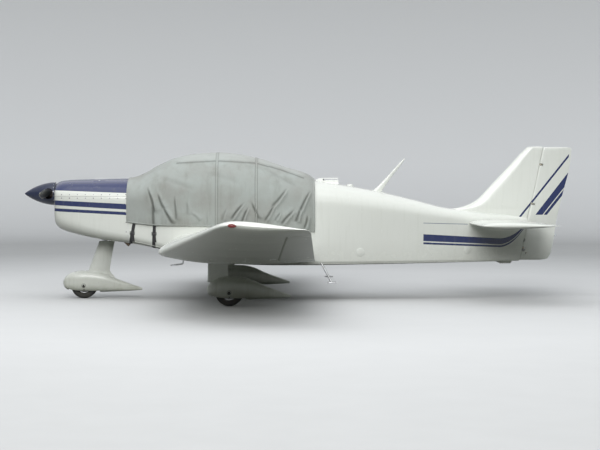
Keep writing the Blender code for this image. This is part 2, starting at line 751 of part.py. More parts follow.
def build_propeller():
    radius = PROPELLER_HUB_RADIUS
    hub_profile = ((-0.045, 0.0), (-0.045, radius), (HUB_BACK, radius), (HUB_BACK, 0.0))
    hub = turned("propeller", hub_profile, at(PROPELLER_STATION, 0, SHAFT_HEIGHT), (1, 0, 0), "black_paint", 24)
    shaft_end = at(ENGINE_FRONT + 0.09, 0, SHAFT_HEIGHT)
    shaft = rod("propeller_shaft", at(PROPELLER_STATION, 0, SHAFT_HEIGHT), shaft_end, SHAFT_RADIUS, sides=24)
    join(hub, shaft)
    for side_name, side in SIDES:
        radii = (0.02, 0.12, 0.24, 0.42, 0.62, 0.80, 0.87, PROPELLER_RADIUS)
        join(hub, loft("blade_" + side_name, [blade_ring(r, side) for r in radii]))
    profile = []
    steps = 6
    for k in range(steps + 1):
        share = k / steps
        profile.append((SPINNER_LENGTH * share, SPINNER_RADIUS * math.sin(math.pi / 2 * share) ** 0.80))
    inner = [(0.020, 0.0)] + [(along, outer - SPINNER_WALL) for along, outer in profile[2::2]]
    inner.append((SPINNER_LENGTH, SPINNER_RADIUS - SPINNER_WALL))
    spinner = turned("spinner", profile + inner[::-1], at(0, 0, SHAFT_HEIGHT), (1, 0, 0), "blue_paint", 20)
    rim = radius + 0.001
    back = turned(
        "spinner_back_plate",
        ((0, rim), (0, SPINNER_RADIUS - 0.002), (0.004, SPINNER_RADIUS - 0.002), (0.004, rim)),
        at(SPINNER_LENGTH - 0.0045, 0, SHAFT_HEIGHT),
        (1, 0, 0),
        sides=20,
    )
    join(spinner, back)
    for side_name, side in SIDES:
        centre = at(PROPELLER_STATION, 0, SHAFT_HEIGHT)
        tip = at(PROPELLER_STATION, side * 0.3, SHAFT_HEIGHT)
        cut(spinner, rod("blade_cutout_" + side_name, centre, tip, BLADE_CUTOUT_RADIUS))


def spat_rings(axle_station, y, shrink=0.0):
    rings = []
    for offset, half_width, bottom, top in SPAT_ROWS:
        ring = []
        middle, half_height = (top + bottom) / 2, (top - bottom) / 2
        for k in range(SPAT_STEPS):
            angle = 2 * math.pi * k / SPAT_STEPS
            across = math.copysign(abs(math.cos(angle)) ** SPAT_SQUARENESS, math.cos(angle)) * (half_width - shrink)
            rise = math.copysign(abs(math.sin(angle)) ** SPAT_SQUARENESS, math.sin(angle)) * (half_height - shrink)
            ring.append(at(axle_station + offset, y + across, middle + rise))
        rings.append(ring)
    return rings


def build_spat(name, axle_station, y, strut_cutter):
    spat = loft(name, spat_rings(axle_station, y), "white_paint")
    hollow = loft(name + "_inside", spat_rings(axle_station, y, SPAT_WALL)[1:-2])
    slot = box(name + "_slot", at(axle_station - 0.205, y - 0.080, 0.02), at(axle_station + 0.205, y + 0.080, 0.16))
    axle = at(axle_station, y, AXLE_HEIGHT)
    reach = Vector((0, 0.2, 0))
    axle_hole = rod(name + "_axle_hole", axle - reach, axle + reach, AXLE_RADIUS + SEAT_GAP, sides=10)
    return cut(spat, hollow, slot, strut_cutter, axle_hole)


def build_wheel(prefix, suffix, axle_station, y):
    """A tyre on a rim, turned so that the tyre rests on one of its flats."""
    centre = at(axle_station, y, AXLE_HEIGHT)
    half = TYRE_WIDTH / 2
    tyre = (
        (-0.040, RIM_RADIUS),
        (-half, RIM_RADIUS + 0.030),
        (-half * 0.86, TYRE_RADIUS - 0.012),
        (-half * 0.55, TYRE_RADIUS),
        (half * 0.55, TYRE_RADIUS),
        (half * 0.86, TYRE_RADIUS - 0.012),
        (half, RIM_RADIUS + 0.030),
        (0.040, RIM_RADIUS),
    )
    turned(f"{prefix}_tyre{suffix}", tyre, centre, (0, 1, 0), "tyre_rubber", WHEEL_SIDES)
    bore = AXLE_RADIUS + 0.0008
    rim = (
        (-RIM_WIDTH / 2, bore),
        (-RIM_WIDTH / 2, HUB_RADIUS),
        (-0.012, HUB_RADIUS + 0.012),
        (-0.038, RIM_RADIUS - SEAT_GAP),
        (0.038, RIM_RADIUS - SEAT_GAP),
        (0.012, HUB_RADIUS + 0.012),
        (RIM_WIDTH / 2, HUB_RADIUS),
        (RIM_WIDTH / 2, bore),
    )
    turned(f"{prefix}_rim{suffix}", rim, centre, (0, 1, 0), "bare_alloy", WHEEL_SIDES)


def leg_ring(centre, chord, half_width, grow=0.0):
    """A level streamlined section round a leg, blunt in front and tapered aft."""
    ring = []
    for k in range(12):
        angle = 2 * math.pi * k / 12
        aft = 0.5 * (1 - math.cos(angle))
        width = half_thickness(aft, 1.0) * 2
        reach = (chord + 2 * grow) * aft - grow - 0.32 * chord
        across = math.copysign(width * (half_width + grow), math.sin(angle)) if 0 < aft < 1 else 0.0
        ring.append(centre + Vector((reach, across, 0)))
    return ring


def build_fork(leg, prefix, crown, axle):
    """A crossbar under the leg, an arm down each side of the tyre and the axle between them."""
    reach = Vector((0, FORK_SPAN + FORK_THICKNESS / 2, 0))
    join(leg, rod(prefix + "_fork_crown", crown - reach, crown + reach, CROWN_RADIUS, sides=16))
    along = (axle - crown).normalized() * 0.016
    for side_name, side in SIDES:
        offset = Vector((0, side * FORK_SPAN, 0))
        start, end = crown + offset + along * 0.2, axle + offset + along
        join(leg, plate(f"{prefix}_fork_arm_{side_name}", start, end, 0.028, FORK_THICKNESS, (0, 1, 0)))
    reach = Vector((0, AXLE_REACH, 0))
    join(leg, rod(prefix + "_axle", axle - reach, axle + reach, AXLE_RADIUS, sides=10))


def build_nose_gear():
    hole = rod("nose_leg_passage", nose_axis_point(0.27), nose_axis_point(0.42), NOSE_STRUT_RADIUS + 0.008)
    build_spat("nose_spat", NOSE_AXLE_STATION, 0.0, hole)
    build_wheel("nose", "", NOSE_AXLE_STATION, 0.0)
    leg = rod("nose_leg", nose_axis_point(0.300), nose_axis_point(1.00), NOSE_STRUT_RADIUS, "bare_alloy")
    axle = at(NOSE_AXLE_STATION, 0, AXLE_HEIGHT)
    build_fork(leg, "nose", nose_axis_point(0.304), axle)
    rings = []
    inner = []
    for height, chord, half_width in NOSE_FAIRING_ROWS:
        rings.append(leg_ring(nose_axis_point(height), chord, half_width))
        inner.append(leg_ring(nose_axis_point(height), chord, half_width, -SPAT_WALL))
    inner[0] = [p - Vector((0, 0, 0.03)) for p in inner[0]]
    inner[-1] = [p + Vector((0, 0, 0.03)) for p in inner[-1]]
    fairing = loft("nose_leg_fairing", rings, "white_paint")
    skin = loft("nose_spat_skin", spat_rings(NOSE_AXLE_STATION, 0.0, -SEAT_GAP))
    cut(fairing, loft("nose_fairing_inside", inner), skin)
    low, high = nose_axis_point(0.775), nose_axis_point(1.03)
    socket = rod("nose_leg_socket", low, high, NOSE_STRUT_RADIUS + 0.009, "dark_steel")
    for side_name, side in SIDES:
        for level, height in (("upper", 0.99), ("lower", 0.83)):
            start = nose_axis_point(height) + Vector((0, side * 0.020, 0))
            end = at(FIREWALL_STATION + 0.02, side * 0.16, height + 0.02)
            join(socket, rod(f"socket_brace_{level}_{side_name}", start, end, 0.011, sides=8))
    low, high = nose_axis_point(0.70), nose_axis_point(1.01)
    bore = rod("socket_bore", low, high, NOSE_STRUT_RADIUS + SHAFT_CLEARANCE)
    cut(socket, bore, behind_firewall("socket_trim"))


def build_main_gear(side_name, side, wing_skin):
    y = side * MAIN_AXLE_SPAN
    foot = at(MAIN_STRUT_STATION, y, 0.25)
    head = at(MAIN_STRUT_STATION, y, 0.75)
    hole = rod(f"main_leg_passage_{side_name}", foot, head, MAIN_STRUT_RADIUS + 0.006)
    build_spat(f"main_spat_{side_name}", MAIN_AXLE_STATION, y, hole)
    build_wheel("main", "_" + side_name, MAIN_AXLE_STATION, y)
    leg = rod(f"main_leg_{side_name}", at(MAIN_STRUT_STATION, y, 0.282), head, MAIN_STRUT_RADIUS, "bare_alloy")
    axle = at(MAIN_AXLE_STATION, y, AXLE_HEIGHT)
    build_fork(leg, f"main_{side_name}", at(MAIN_STRUT_STATION + 0.010, y, 0.274), axle)
    cut(leg, wing_skin)
    rings, inner = [], []
    for height, chord, half_width in MAIN_FAIRING_ROWS:
        centre = at(MAIN_STRUT_STATION, y, height)
        rings.append(leg_ring(centre, chord, half_width))
        inner.append(leg_ring(centre, chord, half_width, -SPAT_WALL))
    inner[0] = [p - Vector((0, 0, 0.03)) for p in inner[0]]
    inner[-1] = [p + Vector((0, 0, 0.03)) for p in inner[-1]]
    fairing = loft(f"main_leg_fairing_{side_name}", rings, "white_paint")
    skin = loft(f"main_spat_skin_{side_name}", spat_rings(MAIN_AXLE_STATION, y, -SEAT_GAP))
    cut(fairing, loft(f"main_fairing_inside_{side_name}", inner), skin, wing_skin)


def build_wing(side_name, side, hull_skin):
    inner_end = CRANK_SPAN - SEAT_GAP
    inner_rings = [wing_ring(span, side) for span in (ROOT_BURIED_SPAN, inner_end)]
    inner = loft(f"wing_inner_{side_name}", inner_rings, "white_paint")
    flap, flap_bay = hinged_surface(f"flap_{side_name}", side, FLAP_HINGE, FLAP_SPAN, 96, 208)
    cut(inner, flap_bay, hull_skin)
    hang_on_end_pins(inner, flap, *hinge_line(FLAP_HINGE, FLAP_SPAN, side))
    outer_spans = [(CRANK_SPAN + SEAT_GAP, 1.0, 1.0), (CRANK_SPAN + 0.06, 1.0, 1.0)]
    outer_spans += [(HALF_SPAN - inboard, chord, thick) for inboard, chord, thick in TIP_ROWS]
    outer_rings = [wing_ring(span, side, chord, thick) for span, chord, thick in outer_spans]
    outer = loft(f"wing_outer_{side_name}", outer_rings, "white_paint")
    aileron, aileron_bay = hinged_surface(f"aileron_{side_name}", side, AILERON_HINGE, AILERON_SPAN, 112, 248)
    cut(outer, aileron_bay)
    hang_on_end_pins(outer, aileron, *hinge_line(AILERON_HINGE, AILERON_SPAN, side))
    skin_rings = [wing_ring(span, side, grow=SEAT_GAP) for span in (ROOT_BURIED_SPAN, CRANK_SPAN - 0.1)]
    inner_skin = loft(f"wing_skin_{side_name}", skin_rings)
    grown_rings = []
    for span, chord, thick in outer_spans:
        reach = SEAT_GAP if span > HALF_SPAN - 0.001 else 0.0
        grown_rings.append(wing_ring(span + reach, side, chord, thick, SEAT_GAP))
    return inner, inner_skin, loft(f"outer_skin_{side_name}", grown_rings)


def rudder_hinge_station(height):
    return RUDDER_FOOT_STATION + (height - RUDDER_FOOT_HEIGHT) * RUDDER_RAKE


def build_fin_and_rudder(hull, hull_skin):
    rings = []
    for height, front, half in FIN_ROWS:
        back = rudder_hinge_station(height) + 0.04
        outline = []
        for k in range(6):
            share = (k / 6) ** 1.6
            fullness = min(1.0, math.sqrt(share * 3.2)) * (1.0 - 0.12 * share)
            outline.append((front + (back - front) * share, half * fullness))
        outline.append((back, half * 0.88))
        ring = [at(s, w, height) for s, w in outline]
        ring += [at(s, -w, height) for s, w in reversed(outline[1:])]
        rings.append(ring)
    fin = loft("fin", rings, "white_paint")
    rudder_rings, bay_rings = [], []
    for height, back, half in RUDDER_ROWS:
        hinge = rudder_hinge_station(height)
        ring = []
        for k in range(NOSE_STEPS + 1):
            angle = math.radians(90 + 180 * k / NOSE_STEPS)
            ring.append(at(hinge + half * math.cos(angle), half * math.sin(angle), height))
        tail = ((0.5, 0.62), (1.0, 0.10))
        ring += [at(hinge + (back - hinge) * share, -half * width, height) for share, width in tail]
        ring += [at(hinge + (back - hinge) * share, half * width, height) for share, width in reversed(tail)]
        rudder_rings.append(ring)
    for height, radius in RUDDER_BAY_ROWS:
        hinge = rudder_hinge_station(height)
        outline = bay_outline(hinge, 0.0, radius + NOSE_GAP, 120, 240, 0.9)
        bay_rings.append([at(s, w, height) for s, w in outline])
    rudder_origin = at(rudder_hinge_station(1.0), 0, 1.0)
    rudder = loft("rudder", rudder_rings, "white_paint", rudder_origin)
    bay = loft("bay_rudder", bay_rings)
    cut(fin, bay, hull_skin)
    cut(hull, bay)
    for number, (carrier, height, nose_radius, reach) in enumerate(RUDDER_LUGS):
        fixed = fin if carrier == "fin" else hull
        centre = at(rudder_hinge_station(height), 0, height)
        hang_on_lug(fixed, rudder, number, centre, (RUDDER_RAKE, 0, 1), nose_radius, reach)


def build_stabilator(hull):
    pivot = at(STABILATOR_FRONT + STABILATOR_PIVOT * STABILATOR_CHORD, 0, STABILATOR_HEIGHT)
    reach = Vector((0, 0.35, 0))
    tube = rod("stabilator", pivot - reach, pivot + reach, STABILATOR_TUBE_RADIUS, "white_paint")
    outline = airfoil_outline(STABILATOR_CHORD, STABILATOR_THICKNESS, False, 8)
    for side_name, side in SIDES:
        rings = []
        inner = []
        for aft, up in outline:
            share = min(1.0, aft / (STABILATOR_CHORD * TAB_HINGE))
            inner.append(at(STABILATOR_FRONT + aft, side * (0.200 - 0.105 * share), STABILATOR_HEIGHT + up))
        rings.append(inner)
        tip_rows = ((0.12, 1.0, 1.0), (0.05, 0.985, 0.85), (0.012, 0.95, 0.50), (0.0, 0.92, 0.20))
        for inboard, chord, thick in tip_rows:
            y = side * (STABILATOR_HALF_SPAN - inboard)
            shift = STABILATOR_CHORD * (1 - chord) * 0.7
            rings.append([at(STABILATOR_FRONT + aft * chord + shift, y, STABILATOR_HEIGHT + up * thick) for aft, up in outline])
        half = loft("stabilator_half_" + side_name, rings)
        join(tube, half)
    for side_name, side in SIDES:
        aft = TAB_HINGE * STABILATOR_CHORD
        radius = half_thickness(TAB_HINGE, STABILATOR_THICKNESS) * STABILATOR_CHORD + TRAILING_THICKNESS / 2 * TAB_HINGE
        nose = []
        for k in range(NOSE_STEPS + 1):
            angle = math.radians(90 + 180 * k / NOSE_STEPS)
            nose.append((aft + radius * math.cos(angle), radius * math.sin(angle)))
        end = TRAILING_THICKNESS / 2
        profile = nose + [(STABILATOR_CHORD, -end), (STABILATOR_CHORD, end)]
        rings = [[at(STABILATOR_FRONT + a, side * y, STABILATOR_HEIGHT + u) for a, u in profile] for y in TAB_SPAN]
        origin = at(STABILATOR_FRONT + aft, side * TAB_SPAN[0], STABILATOR_HEIGHT)
        tab = loft("anti_tab_" + side_name, rings, "white_paint", origin)
        bay = bay_outline(aft, 0.0, radius + 0.007, 118, 242, 0.4)
        spans = (0.02, TAB_SPAN[1] + END_GAP)
        bay_rings = [[at(STABILATOR_FRONT + a, side * y, STABILATOR_HEIGHT + u) for a, u in bay] for y in spans]
        cut(tube, loft("bay_anti_tab_" + side_name, bay_rings))
        start, end = [at(STABILATOR_FRONT + aft, side * y, STABILATOR_HEIGHT) for y in TAB_SPAN]
        hang_on_lug(tube, tab, 0, start.lerp(end, 0.12), (0, 1, 0), radius * 1.08, 0.05)
        hang_on_lug(tube, tab, 1, start.lerp(end, 0.88), (0, 1, 0), radius * 1.08, 0.05)
    reach = Vector((0, 0.5, 0))
    bore = rod("stabilator_bore", pivot - reach, pivot + reach, STABILATOR_TUBE_RADIUS + SHAFT_CLEARANCE)
    cut(hull, bore)


def cover_arch(row, inset):
    """Half the cover's section from its hem to its crown, and where the deck starts in it."""
    station, hem, shoulder, top = row
    shoulder += SILL_HEIGHT
    width = row_between(BODY_ROWS, station)[1] + COVER_EASE - inset
    half = [(width, hem), (width, (hem + shoulder) / 2)]
    steps = DECK_STEPS + 1
    for k in range(steps):
        angle = math.radians(90 * k / steps)
        rise = (top - inset - shoulder) * math.sin(angle) ** DECK_SQUARENESS
        half.append((width * math.cos(angle) ** DECK_SQUARENESS, shoulder + rise))
    half.append((0.0, top - inset))
    return half


def mirrored(half):
    """A half section in the starboard side, carried on over the middle to the port side."""
    return half + [(-y, z) for y, z in reversed(half[:-1])]


def build_cover():
    """The fabric cover as a thin arched shell, and the closed hood that it is drawn over."""
    rings = []
    for row in COVER_ROWS:
        section = mirrored(cover_arch(row, 0.0)) + mirrored(cover_arch(row, COVER_WALL))[::-1]
        rings.append([at(row[0], y, z) for y, z in section])
    loft("canopy_cover", rings, "cover_fabric")
    ends = (HOOD_FRONT + SEAT_GAP, HOOD_BACK - SEAT_GAP)
    stations = [ends[0]] + [row[0] for row in COVER_ROWS[2:-2:2]] + [ends[1]]
    hood_rings = []
    floor = SILL_HEIGHT + SEAT_GAP
    for station in stations:
        half = cover_arch(row_between(COVER_ROWS, station), COVER_WALL + HOOD_CLEARANCE)[2:]
        half = [(y, max(z, floor + 0.01 * k)) for k, (y, z) in enumerate(half)]
        half[0] = (half[0][0], floor)
        hood_rings.append([at(station, y, z) for y, z in mirrored(half)])
    loft("cockpit_hood", hood_rings, "clear_acrylic")


def build_strap(name, top_station, bottom_station):
    """A webbing strap under the belly, tucked up under the cover's hems."""
    top = row_between(COVER_ROWS, top_station)[1] + STRAP_TUCK
    low = row_between(BODY_ROWS, bottom_station)[2]
    rings = []
    for edge in (-STRAP_WIDTH / 2, STRAP_WIDTH / 2):
        ring = []
        for grow in (STRAP_SLACK + STRAP_THICKNESS, STRAP_SLACK):
            half = []
            for k in range(CORNER_STEPS + 2):
                height = hull_ring(row_between(BODY_ROWS, bottom_station), grow)[k].z
                share = (height - low) / (top - low)
                station = bottom_station + (top_station - bottom_station) * max(0.0, share)
                half.append(hull_ring(row_between(BODY_ROWS, station + edge), grow)[k])
            half.append(at(top_station + edge, row_between(BODY_ROWS, top_station + edge)[1] + grow, top))
            path = half[::-1] + [Vector((p.x, -p.y, p.z)) for p in half[1:]]
            ring += path if not ring else path[::-1]
        rings.append(ring)
    return loft(name, rings, "strap_web")


def build_deck_parts(hull_skin):
    """The cabin vent behind the cover, the radio antenna and the satellite navigation puck."""
    rings = []
    for station, half_width, top in VENT_ROWS:
        arch = [math.radians(180 * k / 8) for k in range(9)]
        foot = VENT_FOOT
        rings.append([at(station, half_width * math.cos(a), foot + (top - foot) * math.sin(a) ** 0.5) for a in arch])
    vent = loft("vent_fairing", rings, "white_paint")
    mouth = box("vent_mouth", at(*VENT_MOUTH_LOW), at(*VENT_MOUTH_HIGH))
    cut(vent, mouth, hull_skin)
    rings = []
    for along, chord, half in ANTENNA_ROWS:
        offset = Vector((math.sin(ANTENNA_RAKE), 0, math.cos(ANTENNA_RAKE))) * along
        centre = at(ANTENNA_STATION, 0, ANTENNA_FOOT) + offset
        turns = [2 * math.pi * k / 8 for k in range(8)]
        rings.append([centre + Vector((0.5 * chord * math.cos(a), half * math.sin(a), 0)) for a in turns])
    cut(loft("radio_antenna", rings, "white_paint"), hull_skin)
    profile = ((0, 0), (0, 0.045), (0.045, 0.040), (0.055, 0.025), (0.058, 0))
    cut(turned("satnav_puck", profile, at(PUCK_STATION, 0, 1.395), (0, 0, 1), "white_paint", 16), hull_skin)


def build_steps(hull_skin):
    """A strut with a foot plate on each side, for climbing onto the wing."""
    for side_name, side in SIDES:
        head, foot = at(*STEP_HEAD), at(*STEP_FOOT)
        head.y, foot.y = head.y * side, foot.y * side
        step = rod("step_" + side_name, head, foot, STEP_RADIUS, "bare_alloy", sides=12)
        low = foot - Vector((STEP_PLATE[0] / 2, STEP_PLATE[1] / 2, STEP_PLATE[2] / 2))
        join(step, box("step_plate_" + side_name, low, low + Vector(STEP_PLATE)))
        cut(step, hull_skin)


def build_lights(wings, outer_skins):
    """The landing light let into one wing's nose, the wing tips' lights and the tail light."""
    low, high = LANDING_LIGHT_SPAN
    nose = WING_NOSE_HEIGHT
    corners = at(WING_FRONT - 0.05, -high, nose - 0.3), at(WING_FRONT + LANDING_LIGHT_DEPTH, -low, nose + 0.3)
    inward = Vector((0.05, SEAT_GAP, 0.0))
    lamp = loft("landing_light", [wing_ring(span, -1) for span in (low - 0.05, high + 0.05)], "clear_acrylic")
    window = box("landing_light_window", corners[0] + inward, corners[1] - Vector((SEAT_GAP, SEAT_GAP, 0)))
    combine(lamp, window, "INTERSECT")
    cut(wings["left"], box("landing_light_bay", *corners))
    for side_name, side in SIDES:
        finish = "red_lens" if side_name == "left" else "green_lens"
        panel = Panel(HALF_SPAN - 0.012)
        centre = panel.point(NAV_LIGHT_AFT, 0.0, side)
        profile = [(-0.05, 0.0), (-0.042, 0.010), (-0.02, 0.018), (0.01, 0.020), (0.035, 0.014), (0.05, 0.0)]
        lens = turned("nav_light_" + side_name, profile, centre, (1, 0, 0), finish, 12)
        cut(lens, outer_skins[side_name])
    station = row_between(RUDDER_ROWS, TAIL_LIGHT_HEIGHT)[1]
    profile = [(0.0, 0.0), (0.0, 0.016), (0.016, 0.014), (0.024, 0.007), (0.026, 0.0)]
    seat = at(station + 0.0031, 0, TAIL_LIGHT_HEIGHT)
    turned("tail_light", profile, seat, (1, 0, 0), "clear_acrylic", 12)


def build_underside_parts(hull_skin, wing_skins):
    """The exhaust pipe, the pitot tube, the tie-down pads and the tail skid."""
    pipe = swept("exhaust_pipe", [at(*point) for point in EXHAUST_PATH], EXHAUST_RADIUS, "dark_steel")
    mouth = [at(*point) for point in EXHAUST_PATH[-2:]]
    mouth.append(mouth[1] + (mouth[1] - mouth[0]))
    cut(pipe, swept("exhaust_bore", mouth, EXHAUST_RADIUS - 0.002))
    pitot = swept("pitot_tube", [at(*point) for point in PITOT_PATH], PITOT_RADIUS, "bare_alloy", 10)
    cut(pitot, wing_skins["left"])
    for side_name, side in SIDES:
        middle = at(TIE_DOWN_STATION, side * TIE_DOWN_SPAN, TIE_DOWN_FOOT)
        size = Vector((TIE_DOWN_SIZE, TIE_DOWN_SIZE, 0))
        top = Vector((0, 0, 0.06))
        pad = box("tie_down_" + side_name, middle - size / 2, middle + size / 2 + top, "bare_alloy")
        cut(pad, wing_skins[side_name])
    skid = box("tail_skid", at(SKID_STATION - 0.10, -0.018, SKID_FOOT), at(SKID_STATION + 0.10, 0.018, 0.52), "bare_alloy")
    cut(skid, hull_skin)


def main():
    clear_scene()
    hull = build_hull()
    hull_skin = hull_loft("hull_skin", HULL_ROWS, grow=SEAT_GAP, reach=SEAT_GAP)
    build_cowling()
    build_engine()
    build_propeller()
    build_nose_gear()
    wings, inner_skins, outer_skins = {}, {}, {}
    for side_name, side in SIDES:
        wings[side_name], inner_skins[side_name], outer_skins[side_name] = build_wing(side_name, side, hull_skin)
        build_main_gear(side_name, side, inner_skins[side_name])
    build_fin_and_rudder(hull, hull_skin)
    build_stabilator(hull)
    build_cover()
    for name, top_station, bottom_station in STRAPS:
        build_strap(name, top_station, bottom_station)
    build_deck_parts(hull_skin)
    build_steps(hull_skin)
    build_lights(wings, outer_skins)
    build_underside_parts(hull_skin, inner_skins)


main()
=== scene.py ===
import random
from math import asin, atan2, copysign, cos, exp, hypot, pi, radians, sin, sqrt, tan

import bmesh
import bpy
import numpy as np
from mathutils import Matrix, Vector, noise


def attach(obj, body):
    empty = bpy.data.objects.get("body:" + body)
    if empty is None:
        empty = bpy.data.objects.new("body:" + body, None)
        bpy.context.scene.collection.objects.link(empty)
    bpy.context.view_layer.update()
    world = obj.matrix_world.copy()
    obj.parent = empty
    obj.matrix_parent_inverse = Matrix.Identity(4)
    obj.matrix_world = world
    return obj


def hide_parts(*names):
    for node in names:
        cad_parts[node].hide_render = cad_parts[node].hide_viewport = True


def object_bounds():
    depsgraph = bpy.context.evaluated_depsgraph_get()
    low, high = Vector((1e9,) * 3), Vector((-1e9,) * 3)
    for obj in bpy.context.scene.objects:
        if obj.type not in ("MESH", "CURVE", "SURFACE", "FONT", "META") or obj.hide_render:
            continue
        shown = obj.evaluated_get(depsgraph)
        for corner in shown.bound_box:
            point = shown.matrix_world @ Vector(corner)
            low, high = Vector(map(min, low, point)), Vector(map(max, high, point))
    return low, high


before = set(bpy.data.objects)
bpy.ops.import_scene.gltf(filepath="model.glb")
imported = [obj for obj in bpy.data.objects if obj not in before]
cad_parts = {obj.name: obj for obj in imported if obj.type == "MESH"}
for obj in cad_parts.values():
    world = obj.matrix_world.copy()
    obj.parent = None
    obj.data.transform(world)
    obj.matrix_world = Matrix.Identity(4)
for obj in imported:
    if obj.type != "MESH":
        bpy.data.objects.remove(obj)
cadBox = [list(corner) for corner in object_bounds()]

# Stations are metres aft of the spinner's tip, heights are metres above the ground
noseX = cadBox[0][0]
hands = (("left", -1), ("right", 1))
shop = bpy.context.scene.collection
print("frame loaded")


def at(station, y, height):
    return Vector((noseX + station, y, height))


def spread(low, high, count):
    return [low + (high - low) * k / (count - 1) for k in range(count)]


def around(count, offset=0.0):
    # the cosine and sine of evenly spaced turns
    turns = [2 * pi * (k + offset) / count for k in range(count)]
    return [(cos(turn), sin(turn)) for turn in turns]


def arc(centre, radius, start, end, count):
    # points between two angles in degrees
    turns = [radians(angle) for angle in spread(start, end, count)]
    return [(centre[0] + radius * cos(turn), centre[1] + radius * sin(turn)) for turn in turns]


def rounded(centre, size, power, count):
    # points round a rectangle with rounded corners; a power of one gives an ellipse
    turns = [[copysign(abs(share) ** power, share) for share in turn] for turn in around(count)]
    return [(centre[0] + size[0] * c, centre[1] + size[1] * s) for c, s in turns]


def bend(start, corner, end, count):
    # a path's rounded corner
    return [start * (1 - t) ** 2 + corner * 2 * t * (1 - t) + end * t * t for t in spread(0, 1, count)]


# Mesh helpers; a material is named by its key in finishes


def makePiece(name, bm, material=None, crease=35, weld=True):
    if weld:
        bmesh.ops.remove_doubles(bm, verts=bm.verts, dist=1e-6)
        bmesh.ops.recalc_face_normals(bm, faces=bm.faces)
    mesh = bpy.data.meshes.new(name)
    bm.to_mesh(mesh)
    bm.free()
    if material:
        mesh.materials.append(finishes[material])
    return addObject(name, mesh, crease)


def addObject(name, mesh, crease=35):
    made = bpy.data.objects.new(name, mesh)
    shop.objects.link(made)
    mesh.shade_smooth()
    mesh.set_sharp_from_angle(angle=radians(crease))
    return made


def loft(name, rings, material=None, crease=35, forCutting=False, closed=False):
    # a skin through rings of equally many points, with flat caps or closed on itself
    bm = bmesh.new()
    loops = [[bm.verts.new(point) for point in ring] for ring in rings]
    walls = []
    for first, second in zip(loops, loops[1:] + (loops[:1] if closed else [])):
        for i in range(len(first)):
            j = (i + 1) % len(first)
            walls.append(bm.faces.new((first[i], first[j], second[j], second[i])))
    if not closed:
        bm.faces.new(loops[0][::-1])
        bm.faces.new(loops[-1])
    if forCutting:
        bmesh.ops.triangulate(bm, faces=walls)
    return makePiece(name, bm, material, crease)


def facing(centre, axis):
    return Matrix.Translation(centre) @ Vector(axis).to_track_quat("Z", "Y").to_matrix().to_4x4()


def turned(name, profile, centre, axis, material=None, sides=64, closed=False, crease=35, bead=0.0):
    # a profile of (distance along the axis, radius), spun about the axis; bead rounds its edges
    bm = bmesh.new()
    turn = facing(centre, axis)
    rings = []
    for c, s in around(sides, 0.5):
        spoke = Vector((c, s, 0))
        rings.append([bm.verts.new(turn @ (spoke * radius + Vector((0, 0, along)))) for along, radius in profile])
    count = len(profile)
    for first, second in zip(rings, rings[1:] + rings[:1]):
        for i in range(count if closed else count - 1):
            j = (i + 1) % count
            if profile[i][1] or profile[j][1]:
                bm.faces.new((first[i], second[i], second[j], first[j]))
    return beaded(makePiece(name, bm, material, crease), bead)


def rod(name, start, end, radius, material=None, endRadius=None, sides=24, bead=0.0):
    start, end = Vector(start), Vector(end)
    length = (end - start).length
    profile = ((0, 0), (0, radius), (length, endRadius or radius), (length, 0))
    return turned(name, profile, start, end - start, material, sides, bead=bead)


def block(name, low, high, material=None, bead=0.0):
    low, high = Vector(low), Vector(high)
    bm = bmesh.new()
    place = Matrix.Translation((low + high) / 2) @ Matrix.Diagonal((*(high - low), 1))
    bmesh.ops.create_cube(bm, size=1, matrix=place)
    return beaded(makePiece(name, bm, material), bead)


def beaded(made, bead):
    return roundEdges(made, bead) if bead else made


def bar(name, size, axes, centre, material, bead):
    # a block between two corners, turned to three axes and moved
    made = block(name, *size, material, bead)
    made.matrix_world = Matrix.Translation(centre) @ Matrix(axes).transposed().to_4x4()
    return made


def swept(name, path, radius, material=None, sides=16, squash=1.0):
    # a tube along a path of points, with flat ends
    rings = []
    side = None
    for k, point in enumerate(path):
        before, after = path[max(0, k - 1)], path[min(len(path) - 1, k + 1)]
        along = (after - before).normalized()
        guess = side or (Vector((0, 0, 1)) if abs(along.z) < 0.9 else Vector((0, 1, 0)))
        side = (guess - along * guess.dot(along)).normalized()
        other = along.cross(side)
        rings.append([point + radius * (c * side + squash * s * other) for c, s in around(sides)])
    return loft(name, rings, material, 40)


def settle(target, crease=35):
    # turns the modifiers into mesh
    bpy.context.view_layer.update()
    graph = bpy.context.evaluated_depsgraph_get()
    mesh = bpy.data.meshes.new_from_object(target.evaluated_get(graph))
    old = target.data
    target.modifiers.clear()
    target.data = mesh
    bpy.data.meshes.remove(old)
    mesh.shade_smooth()
    mesh.set_sharp_from_angle(angle=radians(crease))
    return target


def modify(target, kind, **settings):
    made = target.modifiers.new(kind.lower(), kind)
    for key, value in settings.items():
        setattr(made, key, value)
    return target


def roundEdges(target, width, segments=2):
    limit = {"limit_method": "ANGLE", "angle_limit": radians(35), "harden_normals": False}
    return settle(modify(target, "BEVEL", width=width, segments=segments, **limit))


def carve(target, *cutters, operation="DIFFERENCE"):
    for cutter in cutters:
        modify(target, "BOOLEAN", operation=operation, object=cutter, solver="EXACT")
    settle(target)
    for cutter in cutters:
        bpy.data.objects.remove(cutter)
    return target


def evenOut(target):
    # keeps large faces flat where a cut has left long thin ones beside them
    return modify(target, "WEIGHTED_NORMAL", keep_sharp=True, weight=100)


